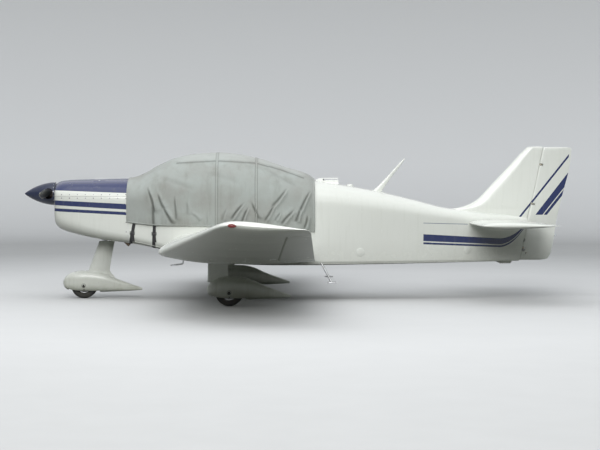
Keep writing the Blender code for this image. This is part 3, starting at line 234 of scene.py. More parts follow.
def joinAll(name, parts):
    # several meshes become one piece, each keeping its own material
    mesh = bpy.data.meshes.new(name)
    bm = bmesh.new()
    materials = []
    for part in parts:
        start = len(bm.faces)
        part.data.transform(part.matrix_world)
        bm.from_mesh(part.data)
        bm.faces.ensure_lookup_table()
        for face in bm.faces[start:]:
            material = part.data.materials[face.material_index]
            if material not in materials:
                materials.append(material)
            face.material_index = materials.index(material)
        bpy.data.objects.remove(part)
    bm.to_mesh(mesh)
    bm.free()
    for material in materials:
        mesh.materials.append(material)
    made = bpy.data.objects.new(name, mesh)
    shop.objects.link(made)
    mesh.set_sharp_from_angle(angle=radians(35))
    return made


def fit(made, body, slot, *nodes):
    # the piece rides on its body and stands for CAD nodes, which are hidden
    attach(made, body)
    if nodes:
        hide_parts(*nodes)
    return made


def smoothRows(rows, stations):
    # a monotone curve through a table's rows, so that nothing bulges between them
    table = np.array(rows, float)
    x, y = table[:, 0], table[:, 1:]
    step = np.diff(x)[:, None]
    rise = np.diff(y, axis=0) / step
    slope = np.zeros_like(y)
    slope[0], slope[-1] = rise[0], rise[-1]
    for k in range(1, len(x) - 1):
        for c in range(y.shape[1]):
            before, after = rise[k - 1, c], rise[k, c]
            if before * after > 0:
                first, second = 2 * step[k, 0] + step[k - 1, 0], step[k, 0] + 2 * step[k - 1, 0]
                slope[k, c] = (first + second) / (first / before + second / after)
    result = []
    for station in stations:
        k = int(min(max(np.searchsorted(x, station) - 1, 0), len(x) - 2))
        h = step[k, 0]
        t = min(max((station - x[k]) / h, 0.0), 1.0)
        value = (2 * t**3 - 3 * t**2 + 1) * y[k] + (t**3 - 2 * t**2 + t) * h * slope[k]
        value = value + (3 * t**2 - 2 * t**3) * y[k + 1] + (t**3 - t**2) * h * slope[k + 1]
        result.append((station, *(float(v) for v in value)))
    return result


def rowAt(rows, station):
    return smoothRows(rows, [station])[0]


# Node helpers


def link(tree, value, socket):
    if isinstance(value, bpy.types.NodeSocket):
        tree.links.new(value, socket)
    else:
        socket.default_value = value


def addNode(tree, kind, inputs=None, **settings):
    made = tree.nodes.new("ShaderNode" + kind)
    for key, value in settings.items():
        setattr(made, key, value)
    for key, value in (inputs or {}).items():
        link(tree, value, made.inputs[key])
    return made


def calc(tree, operation, first, second=0.0, third=0.0, clamp=False):
    made = addNode(tree, "Math", {0: first, 1: second, 2: third}, operation=operation, use_clamp=clamp)
    return made.outputs[0]


def times(tree, first, *others):
    for other in others:
        first = calc(tree, "MULTIPLY", first, other)
    return first


def timesPlus(tree, first, second, third, clamp=False):
    return calc(tree, "MULTIPLY_ADD", first, second, third, clamp)


def within(tree, value, low, high):
    return times(tree, calc(tree, "GREATER_THAN", value, low), calc(tree, "LESS_THAN", value, high))


def axesOf(tree, vector):
    return addNode(tree, "SeparateXYZ", {0: vector}).outputs


def ramp(tree, value, low, high, toLow=0.0, toHigh=1.0):
    inputs = {"Value": value, "From Min": low, "From Max": high, "To Min": toLow, "To Max": toHigh}
    return addNode(tree, "MapRange", inputs).outputs[0]


def blendColor(tree, share, first, second):
    inputs = {0: share, 6: first, 7: second}
    return addNode(tree, "Mix", inputs, data_type="RGBA", blend_type="MIX").outputs[2]


def grain(tree, place, scale, detail=4.0, stretch=None):
    if stretch:
        place = addNode(tree, "Mapping", {"Vector": place, "Scale": stretch}).outputs[0]
    inputs = {"Vector": place, "Scale": scale, "Detail": detail, "Roughness": 0.55}
    return addNode(tree, "TexNoise", inputs).outputs[0]


def startGroup(name, inputs, outputs):
    # sockets are named in one text, each with its kind where it isn't a plain number
    group = bpy.data.node_groups.new(name, "ShaderNodeTree")
    for text, way in ((inputs, "INPUT"), (outputs, "OUTPUT")):
        for entry in text.split(", "):
            title, _, kind = entry.partition(":")
            group.interface.new_socket(name=title, in_out=way, socket_type="NodeSocket" + (kind or "Float"))
    source, sink = group.nodes.new("NodeGroupInput"), group.nodes.new("NodeGroupOutput")
    return group, source.outputs, sink.inputs


def place(tree, group, inputs):
    made = tree.nodes.new("ShaderNodeGroup")
    made.node_tree = groups[group]
    for key, value in inputs.items():
        link(tree, value, made.inputs[key])
    return made.outputs


# A stripe between two lines of height over station, whose lines may bend upwards at one end
def makeStripeGroup():
    inputs = "Along, Across, Start, End, Low, High, Low Slope, High Slope, Bend Start, Low Bend, High Bend"
    group, given, result = startGroup("stripe", inputs, "Mask")
    run = calc(group, "SUBTRACT", given["Along"], given["Start"])
    past = calc(group, "MAXIMUM", calc(group, "SUBTRACT", given["Along"], given["Bend Start"]), 0.0)
    curl = times(group, past, past)
    edges = []
    for edge in ("Low", "High"):
        line = timesPlus(group, run, given[edge + " Slope"], given[edge])
        edges.append(timesPlus(group, curl, given[edge + " Bend"], line))
    mask = within(group, given["Across"], *edges)
    mask = times(group, mask, within(group, given["Along"], given["Start"], given["End"]))
    group.links.new(mask, result["Mask"])
    return group


# Outdoor paint: uneven tone, rain streaks, dust towards the ground, specks and a slightly wavy gloss
def makeAgedPaintGroup():
    inputs = "Place:Vector, Paint:Color, Dirt:Color, Dirt Amount, Clean Height, Base Roughness"
    group, given, result = startGroup("agedPaint", inputs, "Color:Color, Roughness, Height")
    where = given["Place"]
    tone = grain(group, where, 1.7, 5.0)
    patches = grain(group, where, 9.0, 6.0)
    streaks = grain(group, where, 26.0, 3.0, (1.0, 1.0, 0.07))
    specks = addNode(group, "TexVoronoi", {"Vector": where, "Scale": 46.0}).outputs["Distance"]
    low = ramp(group, axesOf(group, where)[2], 0.0, given["Clean Height"], 1.0, 0.0)
    film = times(group, low, ramp(group, patches, 0.15, 0.85, 0.30, 1.0))
    film = timesPlus(group, ramp(group, streaks, 0.52, 0.80), 0.20, film)
    film = timesPlus(group, ramp(group, tone, 0.40, 0.75), 0.10, film)
    film = calc(group, "MULTIPLY", film, given["Dirt Amount"], clamp=True)
    dots = calc(group, "LESS_THAN", specks, ramp(group, patches, 0.45, 0.8, 0.0, 0.035))
    color = blendColor(group, film, given["Paint"], given["Dirt"])
    color = blendColor(group, times(group, dots, 0.45), color, given["Dirt"])
    group.links.new(color, result["Color"])
    gloss = timesPlus(group, film, 0.45, given["Base Roughness"])
    group.links.new(timesPlus(group, ramp(group, patches, 0.3, 0.7), 0.06, gloss), result["Roughness"])
    peel = times(group, grain(group, where, 420.0, 1.0), 0.04)
    group.links.new(timesPlus(group, grain(group, where, 5.0, 2.0), 1.0, peel), result["Height"])
    return group


# Plain weave: threads over and under each other, along the craft and up its sides
def makeWeaveGroup():
    group, given, result = startGroup("weave", "Place:Vector, Threads", "Height, Shade")
    where = given["Place"]
    axes = axesOf(group, where)
    rise = timesPlus(group, calc(group, "ABSOLUTE", axes[1]), -0.8, axes[2])
    wobble = times(group, grain(group, where, 60.0, 2.0), 0.002)
    waves = []
    for value in (axes[0], rise):
        turn = times(group, calc(group, "ADD", value, wobble), given["Threads"])
        waves.append(calc(group, "SINE", turn))
    over = times(group, *waves)
    group.links.new(timesPlus(group, over, 0.5, 0.5), result["Height"])
    slubs = grain(group, where, 300.0, 2.0, (1.0, 0.15, 0.15))
    group.links.new(timesPlus(group, over, 0.12, slubs), result["Shade"])
    return group


# Handled metal: fine scratches along one way, stains, and wear in patches
def makeWornMetalGroup():
    inputs = "Place:Vector, Metal:Color, Stain:Color, Wear, Base Roughness"
    group, given, result = startGroup("wornMetal", inputs, "Color:Color, Roughness, Height")
    where = given["Place"]
    lines = grain(group, where, 90.0, 3.0, (1.0, 12.0, 12.0))
    patches = grain(group, where, 24.0, 5.0)
    stain = calc(group, "MULTIPLY", ramp(group, patches, 0.42, 0.70), given["Wear"], clamp=True)
    group.links.new(blendColor(group, stain, given["Metal"], given["Stain"]), result["Color"])
    rough = timesPlus(group, lines, 0.18, given["Base Roughness"])
    group.links.new(timesPlus(group, stain, 0.25, rough), result["Roughness"])
    group.links.new(timesPlus(group, lines, 0.4, patches), result["Height"])
    return group


groups = {
    "stripe": makeStripeGroup(),
    "agedPaint": makeAgedPaintGroup(),
    "weave": makeWeaveGroup(),
    "wornMetal": makeWornMetalGroup(),
}


def newFinish(name, **sockets):
    material = bpy.data.materials.new(name)
    material.use_nodes = True
    tree = material.node_tree
    shader = tree.nodes["Principled BSDF"]
    for title, value in sockets.items():
        shader.inputs[title.replace("_", " ")].default_value = value
    return material, tree, shader, addNode(tree, "TexCoord").outputs["Object"]


def dress(tree, shader, color, rough=None, height=None, distance=0.0):
    tree.links.new(color, shader.inputs["Base Color"])
    if rough:
        tree.links.new(rough, shader.inputs["Roughness"])
    if height:
        bump = addNode(tree, "Bump", {"Height": height, "Distance": distance, "Strength": 1.0})
        tree.links.new(bump.outputs[0], shader.inputs["Normal"])


# Colours are linear red, green and blue
paints = {
    "white": (0.735, 0.755, 0.705, 1.0),
    "navy": (0.012, 0.024, 0.105, 1.0),
    "pinstripe": (0.20, 0.23, 0.30, 1.0),
    "grime": (0.29, 0.30, 0.21, 1.0),
    "walk": (0.030, 0.031, 0.033, 1.0),
    "dirtAmount": 0.42,
    "roughness": 0.20,
}

livery = {
    "cowlDeck": {"Start": -0.2, "End": 1.42, "Low": 1.398, "Low Slope": -0.0369, "High": 9.0},
    "cowlUpper": {"Start": -0.2, "End": 1.5, "Low": 1.226, "Low Slope": -0.0576, "High": 1.280, "High Slope": -0.0478},
    "cowlLower": {"Start": -0.2, "End": 1.5, "Low": 1.145, "Low Slope": -0.0500, "High": 1.183, "High Slope": -0.0500},
    "sideWide": {
        "Start": 5.05, "End": 6.42, "Low": 0.735, "Low Slope": -0.048, "Low Bend": 2.10,
        "High": 0.822, "High Slope": -0.060, "High Bend": 1.58, "Bend Start": 6.02,
    },
    "sideThin": {
        "Start": 5.05, "End": 6.42, "Low": 0.695, "Low Slope": -0.045, "Low Bend": 2.25,
        "High": 0.720, "High Slope": -0.046, "High Bend": 2.15, "Bend Start": 6.02,
    },
    "sidePin": {"Start": 5.05, "End": 5.62, "Low": 0.958, "Low Slope": -0.03, "High": 0.966, "High Slope": -0.03},
    "finLine": {"Start": 6.283, "End": 6.93, "Low": 0.990, "Low Slope": 1.248, "High": 1.028, "High Slope": 1.248},
    "finWide": {
        "upright": True, "Start": 1.06, "End": 1.62, "Low": 6.500, "Low Slope": 0.78,
        "High": 6.592, "High Slope": 0.80,
    },
    "finNarrow": {
        "upright": True, "Start": 1.06, "End": 1.60, "Low": 6.607, "Low Slope": 0.80,
        "High": 6.650, "High Slope": 0.80,
    },
}


def paintFinish(name, stripes=(), cleanHeight=0.8, dirt=paints["dirtAmount"], patch=None):
    material, tree, shader, where = newFinish(name, Coat_Weight=0.30, Coat_Roughness=0.07)
    axes = axesOf(tree, where)
    station = calc(tree, "SUBTRACT", axes[0], noseX)
    color = paints["white"]
    for title in stripes:
        values = dict(livery[title])
        along, across = (axes[2], station) if values.pop("upright", False) else (station, axes[2])
        mask = place(tree, "stripe", {"Along": along, "Across": across, **values})["Mask"]
        color = blendColor(tree, mask, color, paints["pinstripe" if title == "sidePin" else "navy"])
    inputs = {"Place": where, "Paint": color, "Dirt": paints["grime"], "Dirt Amount": dirt}
    aged = place(tree, "agedPaint", {**inputs, "Clean Height": cleanHeight, "Base Roughness": paints["roughness"]})
    color, rough = aged["Color"], aged["Roughness"]
    if patch:
        color, rough = patch(tree, where, axes, station, color, rough)
    dress(tree, shader, color, rough, aged["Height"], 0.0009)
    return material


# The black non-slip walk on each wing's root, with its worn grit
walkway = {"inner": 0.60, "outer": 0.98, "front": 2.45, "back": 3.14}


def walkPatch(tree, where, axes, station, color, rough):
    mask = within(tree, calc(tree, "ABSOLUTE", axes[1]), walkway["inner"], walkway["outer"])
    mask = times(tree, mask, within(tree, station, walkway["front"], walkway["back"]))
    normal = axesOf(tree, addNode(tree, "NewGeometry").outputs["Normal"])[2]
    mask = times(tree, mask, calc(tree, "GREATER_THAN", normal, 0.3))
    worn = ramp(tree, grain(tree, where, 14.0, 6.0), 0.55, 0.72)
    shade = blendColor(tree, times(tree, worn, 0.35), paints["walk"], paints["grime"])
    mask = times(tree, mask, ramp(tree, grain(tree, where, 700.0, 2.0), 0.30, 0.38))
    return blendColor(tree, mask, color, shade), timesPlus(tree, mask, 0.55, rough, clamp=True)


# Soot behind the exhaust and oil under the cowling's outlet, thinning aft
def sootPatch(tree, where, axes, station, color, rough):
    aft = times(tree, ramp(tree, station, 1.15, 1.45), ramp(tree, station, 2.9, 1.5))
    across = calc(tree, "ABSOLUTE", calc(tree, "SUBTRACT", axes[1], 0.12))
    low = times(tree, ramp(tree, axes[2], 0.84, 0.70), ramp(tree, across, 0.26, 0.04))
    smear = ramp(tree, grain(tree, where, 12.0, 5.0, (0.25, 1.0, 1.0)), 0.30, 0.62)
    return blendColor(tree, times(tree, aft, low, smear, 0.75), color, (0.045, 0.040, 0.034, 1.0)), rough


# Grease round two small dark fittings low on the rudder
def greasePatch(tree, where, axes, station, color, rough):
    for aft, height in ((6.345, 0.740), (6.345, 0.620)):
        offset = {0: calc(tree, "SUBTRACT", station, aft), 2: calc(tree, "SUBTRACT", axes[2], height)}
        offset = addNode(tree, "CombineXYZ", offset).outputs[0]
        reach = addNode(tree, "VectorMath", {0: offset}, operation="LENGTH").outputs["Value"]
        reach = calc(tree, "ADD", reach, times(tree, grain(tree, where, 40.0, 3.0), 0.02))
        mask = times(tree, ramp(tree, reach, 0.044, 0.026), 0.7)
        color = blendColor(tree, mask, color, (0.05, 0.05, 0.045, 1.0))
    return color, rough


def metalFinish(name, metal, stain, wear, rough, metallic=1.0):
    material, tree, shader, where = newFinish(name, Metallic=metallic)
    inputs = {"Place": where, "Metal": (*metal, 1), "Stain": (*stain, 1), "Wear": wear, "Base Roughness": rough}
    worn = place(tree, "wornMetal", inputs)
    dress(tree, shader, worn["Color"], worn["Roughness"], worn["Height"], 0.0003)
    return material


def rubberFinish():
    material, tree, shader, where = newFinish("tyreRubber", Specular_IOR_Level=0.35)
    dust = ramp(tree, grain(tree, where, 22.0, 6.0), 0.38, 0.75)
    tone = blendColor(tree, times(tree, dust, 0.55), (0.017, 0.017, 0.018, 1), (0.105, 0.098, 0.075, 1))
    dress(tree, shader, tone, ramp(tree, dust, 0.0, 1.0, 0.62, 0.9), grain(tree, where, 350.0, 3.0), 0.0006)
    return material


# The fabric cover: its cloth's tones
cover = {
    "lightCloth": (0.375, 0.405, 0.384, 1.0),
    "dullCloth": (0.315, 0.322, 0.298, 1.0),
    "grime": (0.160, 0.165, 0.127, 1.0),
    "shadow": (0.068, 0.072, 0.060, 1.0),
    "highlight": (0.455, 0.472, 0.446, 1.0),
}


def clothFinish():
    # unevenly dirty proofed cloth, with painted shade in its creases' valleys and beside its seams, and a painted
    # highlight above its crown seam
    sheen = {"Sheen_Weight": 0.12, "Sheen_Roughness": 0.45, "Specular_IOR_Level": 0.30}
    material, tree, shader, where = newFinish("coverCloth", **sheen)
    weave = place(tree, "weave", {"Place": where, "Threads": 2600.0})
    blotch = grain(tree, where, 3.2, 6.0)
    streak = grain(tree, where, 11.0, 5.0, (1.0, 1.0, 0.16))
    hem = ramp(tree, axesOf(tree, where)[2], 1.10, 0.90)
    # the cloth's points carry painted shade in this attribute's first channel and a painted highlight in its second
    stain = addNode(tree, "Attribute", attribute_name="stain").outputs["Color"]
    hollow, crownHighlight, _ = axesOf(tree, stain)
    layers = (
        (ramp(tree, blotch, 0.35, 0.68), "dullCloth"),
        (times(tree, ramp(tree, streak, 0.50, 0.78), 0.30), "grime"),
        (times(tree, hem, blotch, 0.35), "grime"),
        # painted highlight above the crown seam, then painted shade in the creases and beside the seams
        (times(tree, crownHighlight, 0.55), "highlight"),
        (times(tree, hollow, 0.78), "shadow"),
        (times(tree, ramp(tree, weave["Shade"], 0.3, 0.7), 0.10), "highlight"),
    )
    cloth = cover["lightCloth"]
    for share, tone in layers:
        cloth = blendColor(tree, share, cloth, cover[tone])
    rumple = grain(tree, where, 15.0, 5.0, (1.0, 1.0, 0.45))
    height = timesPlus(tree, weave["Height"], 0.05, rumple)
    dress(tree, shader, cloth, ramp(tree, streak, 0.3, 0.8, 0.78, 0.92), height, 0.0045)
    return material


def webbingFinish():
    material, tree, shader, where = newFinish("blackWebbing", Sheen_Weight=0.1)
    axes = axesOf(tree, where)
    rib = calc(tree, "SINE", times(tree, axes[0], 2100.0))
    pick = calc(tree, "SINE", times(tree, calc(tree, "ADD", axes[2], axes[1]), 2600.0))
    fade = ramp(tree, grain(tree, where, 18.0, 4.0), 0.3, 0.8)
    tone = blendColor(tree, fade, (0.012, 0.012, 0.013, 1), (0.040, 0.040, 0.042, 1))
    dress(tree, shader, tone, ramp(tree, fade, 0.0, 1.0, 0.6, 0.8), times(tree, rib, pick), 0.0007)
    return material


def clearFinish(name, tint, rough=0.05, transmission=1.0):
    material, tree, shader, where = newFinish(name, IOR=1.49, Transmission_Weight=transmission)
    haze = ramp(tree, grain(tree, where, 60.0, 4.0), 0.4, 0.8)
    tone = blendColor(tree, times(tree, haze, 0.15), (*tint, 1), (0.6, 0.6, 0.58, 1))
    dress(tree, shader, tone, ramp(tree, haze, 0.0, 1.0, rough, rough + 0.12))
    return material


cowlStripes, finStripes = ("cowlDeck", "cowlUpper", "cowlLower"), ("finLine", "finWide", "finNarrow")
finishes = {
    "cowl": paintFinish("cowlPaint", cowlStripes, patch=sootPatch),
    "hull": paintFinish("hullPaint", cowlStripes + ("sideWide", "sideThin", "sidePin"), 0.75, patch=sootPatch),
    "tail": paintFinish("tailPaint", finStripes, 0.7),
    "rudder": paintFinish("rudderPaint", finStripes, 0.7, patch=greasePatch),
    "wing": paintFinish("wingPaint", (), 0.7, patch=walkPatch),
    "spat": paintFinish("spatPaint", (), 0.42, 0.85),
    "plain": paintFinish("plainPaint", (), 0.7),
    "alloy": metalFinish("wornAlloy", (0.60, 0.61, 0.62), (0.22, 0.21, 0.18), 0.5, 0.30),
    "cadmium": metalFinish("platedSteel", (0.48, 0.45, 0.36), (0.15, 0.12, 0.08), 0.6, 0.38),
    "steel": metalFinish("darkSteel", (0.115, 0.112, 0.110), (0.10, 0.045, 0.022), 0.7, 0.42, 0.85),
    "pipe": metalFinish("burntPipe", (0.24, 0.18, 0.13), (0.06, 0.045, 0.035), 0.9, 0.45, 0.9),
    "black": metalFinish("blackEnamel", (0.014, 0.014, 0.015), (0.05, 0.05, 0.047), 0.4, 0.24, 0.0),
    "navy": metalFinish("navyEnamel", (0.012, 0.020, 0.055), (0.04, 0.045, 0.055), 0.35, 0.20, 0.0),
    "tipMark": metalFinish("tipMark", (0.62, 0.60, 0.50), (0.25, 0.24, 0.20), 0.5, 0.35, 0.0),
    "rubber": rubberFinish(),
    "cloth": clothFinish(),
    "webbing": webbingFinish(),
    "thread": metalFinish("coverThread", (0.46, 0.47, 0.44), (0.22, 0.22, 0.19), 0.5, 0.75, 0.0),
    "lens": clearFinish("clearLens", (0.86, 0.93, 0.95)),
    # the port lens's red is a nav lens's deep red, darkened further and made less clear as painted shade
    "red": clearFinish("redLens", (0.30, 0.012, 0.012), 0.08, 0.75),
    "green": clearFinish("greenLens", (0.012, 0.22, 0.07), 0.08, 0.75),
    "mirror": metalFinish("lampReflector", (0.80, 0.82, 0.84), (0.5, 0.5, 0.48), 0.2, 0.10),
    "inside": metalFinish("primedInside", (0.085, 0.088, 0.080), (0.04, 0.038, 0.032), 0.7, 0.60, 0.0),
}
print("finishes ready")

# Body sections: a flat bottom, upright sides and a crowned deck
hull = {
    "side": (  # station, half width, bottom, lower corner radius
        (0.415, 0.285, 1.010, 0.120), (0.422, 0.325, 0.965, 0.130), (0.445, 0.355, 0.925, 0.140),
        (0.500, 0.382, 0.885, 0.150), (0.620, 0.415, 0.845, 0.150), (0.850, 0.455, 0.790, 0.140),
        (1.100, 0.482, 0.748, 0.125), (1.360, 0.500, 0.717, 0.110), (1.650, 0.530, 0.665, 0.100),
        (1.950, 0.548, 0.590, 0.090), (2.300, 0.558, 0.510, 0.080), (2.750, 0.556, 0.456, 0.070),
        (3.200, 0.532, 0.441, 0.065), (3.600, 0.492, 0.440, 0.060), (4.020, 0.438, 0.443, 0.055),
        (4.530, 0.363, 0.448, 0.050), (4.940, 0.298, 0.453, 0.045), (5.350, 0.228, 0.460, 0.040),
        (5.800, 0.148, 0.467, 0.030), (6.150, 0.082, 0.473, 0.022), (6.460, 0.036, 0.478, 0.012),
    ),
    "frontDeck": (  # station, shoulder, top
        (0.415, 1.250, 1.425), (0.422, 1.255, 1.455), (0.445, 1.260, 1.478), (0.500, 1.262, 1.495),
        (0.620, 1.255, 1.506), (0.850, 1.245, 1.513), (1.100, 1.238, 1.519), (1.360, 1.230, 1.523),
        (1.414, 1.205, 1.527),
    ),
    "rearDeck": (
        (3.606, 1.185, 1.512), (4.020, 1.150, 1.447), (4.530, 1.090, 1.352), (4.940, 1.045, 1.255),
        (5.350, 0.995, 1.152), (5.800, 0.950, 1.092), (6.150, 0.925, 1.058), (6.460, 0.905, 1.030),
    ),
    "sill": ((1.415, 1.200, 1.230), (3.605, 1.200, 1.230)),
    "squareness": 0.84,
    "cornerSteps": 6,
    "sideSteps": 7,
    "deckSteps": 18,
}


def hullRing(station, deck, grow=0.0):
    _, half, bottom, corner = rowAt(hull["side"], station)
    _, shoulder, top = rowAt(hull[deck], station)
    width, low, high, radius = half + grow, bottom - grow, top + grow, corner + grow
    profile = [(0.0, low), ((width - radius) / 2, low)]
    profile += arc((width - radius, low + radius), radius, -90, 0, hull["cornerSteps"])
    profile += [(width, height) for height in spread(low + radius, shoulder, hull["sideSteps"])[1:-1]]
    for k in range(hull["deckSteps"]):
        turn = radians(90) * (k / hull["deckSteps"])
        rise = (high - shoulder) * sin(turn) ** hull["squareness"]
        profile.append((width * cos(turn) ** hull["squareness"], shoulder + rise))
    profile.append((0.0, high))
    return [at(station, y, z) for y, z in profile + [(-y, z) for y, z in profile[-2:0:-1]]]


def curveAt(share, power):
    # what is left of a rounded deck's or spat's width at a share of its height, or the other way round
    return cos(asin(min(1.0, max(0.0, share)) ** (1 / power))) ** power


def hullReach(station, height, deck):
    # how far out the skin is at that height
    _, shoulder, top = rowAt(hull[deck], station)
    curve = curveAt((height - shoulder) / (top - shoulder), hull["squareness"])
    return rowAt(hull["side"], station)[1] * curve


def hullTop(station, y, deck):
    _, shoulder, top = rowAt(hull[deck], station)
    curve = curveAt(abs(y) / rowAt(hull["side"], station)[1], hull["squareness"])
    return shoulder + (top - shoulder) * curve


def bayRing(hinge, radius, lips, reach):
    # the space behind a cove of that radius; the lips are angles measured from aft, upwards
    cove = arc(hinge, radius, *lips, 15)
    far, low, high = hinge[0] + reach, hinge[1] - 0.3, hinge[1] + 0.3
    return cove + [(cove[-1][0], low), (far, low), (far, high), (cove[0][0], high)]


def deckPatch(name, stations, sides, lift, material, deck, sink=0.004, steps=12):
    # a plate that follows the deck, standing proud by lift
    rings = []
    for station in spread(*stations, steps):
        top = [at(station, y, hullTop(station, y, deck) + lift) for y in spread(*sides, steps)]
        rings.append(top + [point - Vector((0, 0, lift + sink)) for point in reversed(top)])
    return roundEdges(loft(name, rings, material), lift * 0.6)


# Fin and rudder
tail = {
    "rake": tan(radians(12.0)),
    "pivot": (5.8884, 0.960),
    "footStation": 6.315,
    "footHeight": 0.480,
    "fin": (  # height, leading edge, half thickness
        (1.000, 5.420, 0.030), (1.130, 5.425, 0.030), (1.155, 5.540, 0.033), (1.190, 5.650, 0.036),
        (1.260, 5.765, 0.038), (1.400, 5.900, 0.037), (1.700, 6.183, 0.031), (1.890, 6.362, 0.027),
        (1.920, 6.398, 0.022), (1.930, 6.440, 0.010),
    ),
    "rudder": (  # height, trailing edge, half thickness at the hinge
        (0.486, 6.560, 0.012), (0.500, 6.655, 0.026), (0.640, 6.715, 0.034), (1.000, 6.775, 0.036),
        (1.300, 6.845, 0.034), (1.740, 6.948, 0.029), (1.880, 6.960, 0.027), (1.912, 6.955, 0.022),
        (1.922, 6.900, 0.010),
    ),
    "bay": ((0.30, 0.046), (1.00, 0.046), (2.05, 0.037)),  # height, radius
    "lips": (120, 240),
    "lugs": ((0.640, 0.041, 0.075), (1.200, 0.041, 0.075), (1.700, 0.036, 0.070)),  # height, notch, reach
    "ribs": (0.78, 0.93, 1.09, 1.27, 1.45, 1.62, 1.78),
}


def rudderHinge(height):
    return tail["footStation"] + (height - tail["footHeight"]) * tail["rake"]


def rudderBay():
    rings = []
    for height, radius in tail["bay"]:
        outline = bayRing((rudderHinge(height), 0.0), radius, tail["lips"], 0.9)
        rings.append([at(station, y, height) for station, y in outline])
    return loft("rudderBay", rings, forCutting=True)


def makeLug(name, body, centre, axis, reach, notch):
    # an eye on a bracket with its bolt, and the cutter for the notch round it
    axis = Vector(axis).normalized()
    forward = (Vector((-1, 0, 0)) + axis * axis.x).normalized()
    size = (-0.0165, -0.009, 0), (0.0165, 0.009, reach)

    def across(title, half, radius, material=None, seat=centre, **more):
        return rod(name + title, seat - axis * half, seat + axis * half, radius, material, **more)

    parts = [across("Eye", 0.009, 0.017, "cadmium", sides=32, bead=0.0012)]
    parts.append(bar(name + "Arm", size, (axis.cross(forward), axis, forward), centre, "cadmium", 0.001))
    parts.append(across("Pin", 0.036, 0.007, "steel", bead=0.001))
    for end in (-1, 1):
        parts.append(across("Nut", 0.002, 0.0115, "steel", centre + axis * (0.0115 * end), sides=6))
    fit(joinAll(name, parts), body, "bare_alloy")
    return across("Notch", 0.014, notch, sides=28)


def buildHull():
    rings = [hullRing(s, "frontDeck") for s in spread(1.3603, 1.414, 4)]
    rings += [hullRing(s, "sill") for s in spread(1.42, 3.60, 40)]
    rings += [hullRing(s, "rearDeck") for s in spread(3.606, 6.46, 60)]
    skin = loft("hullSkin", rings, "hull")
    station, height = tail["pivot"]
    bore = rod("bore", at(station, -0.5, height), at(station, 0.5, height), 0.0307, sides=48)
    carve(skin, rudderBay(), bore)
    fit(evenOut(skin), "airframe", "white_airframe", "fuselage")
    # doubler plates where the tailplane's tube passes through, and inspection plates with their screws
    plates = (*tail["pivot"], 0.056, 0.0335), (5.62, 0.62, 0.050, 0), (4.25, 0.60, 0.055, 0)
    parts = []
    for _, side in hands:
        for station, height, radius, inner in plates:
            slope = hullReach(station + 0.05, height, "rearDeck") - hullReach(station - 0.05, height, "rearDeck")
            out = Vector((-slope * 10, side, 0)).normalized()
            centre = at(station, side * hullReach(station, height, "rearDeck"), height)
            profile = ((-0.004, inner), (-0.004, radius), (0.0016, radius), (0.0016, inner))
            parts.append(turned("plate", profile, centre, out, "plain", 56, closed=True, bead=0.0006))
            first = Vector((out.y * side, -out.x * side, 0))
            for c, s in around(8, 0.5):
                head = centre + (first * c + Vector((0, 0, s))) * (radius - 0.009)
                parts.append(rod("screw", head, head + out * 0.0030, 0.0030, "alloy", sides=12, bead=0.0007))
    fit(joinAll("hullPlates", parts), "airframe", "white_airframe")
    # rubbing strip along each lower corner, where the hull's bottom is panelled on
    for name, side in hands:
        path = []
        for station in spread(1.40, 6.20, 60):
            _, half, bottom, corner = rowAt(hull["side"], station)
            path.append(at(station, side * (half - corner * 0.2929), bottom + corner * 0.2929))
        fit(swept("chineStrip_" + name, path, 0.004, "hull", 10), "airframe", "white_airframe")
    print("hull built")


def finOutline(front, back, half):
    points = []
    for share in spread(0, 1, 26):
        share = share ** 1.8
        fullness = sin(pi / 2 * min(1.0, share / 0.3125)) ** 0.62 * (1 - 0.12 * share)
        points.append((front + (back - front) * share, half * fullness))
    return points


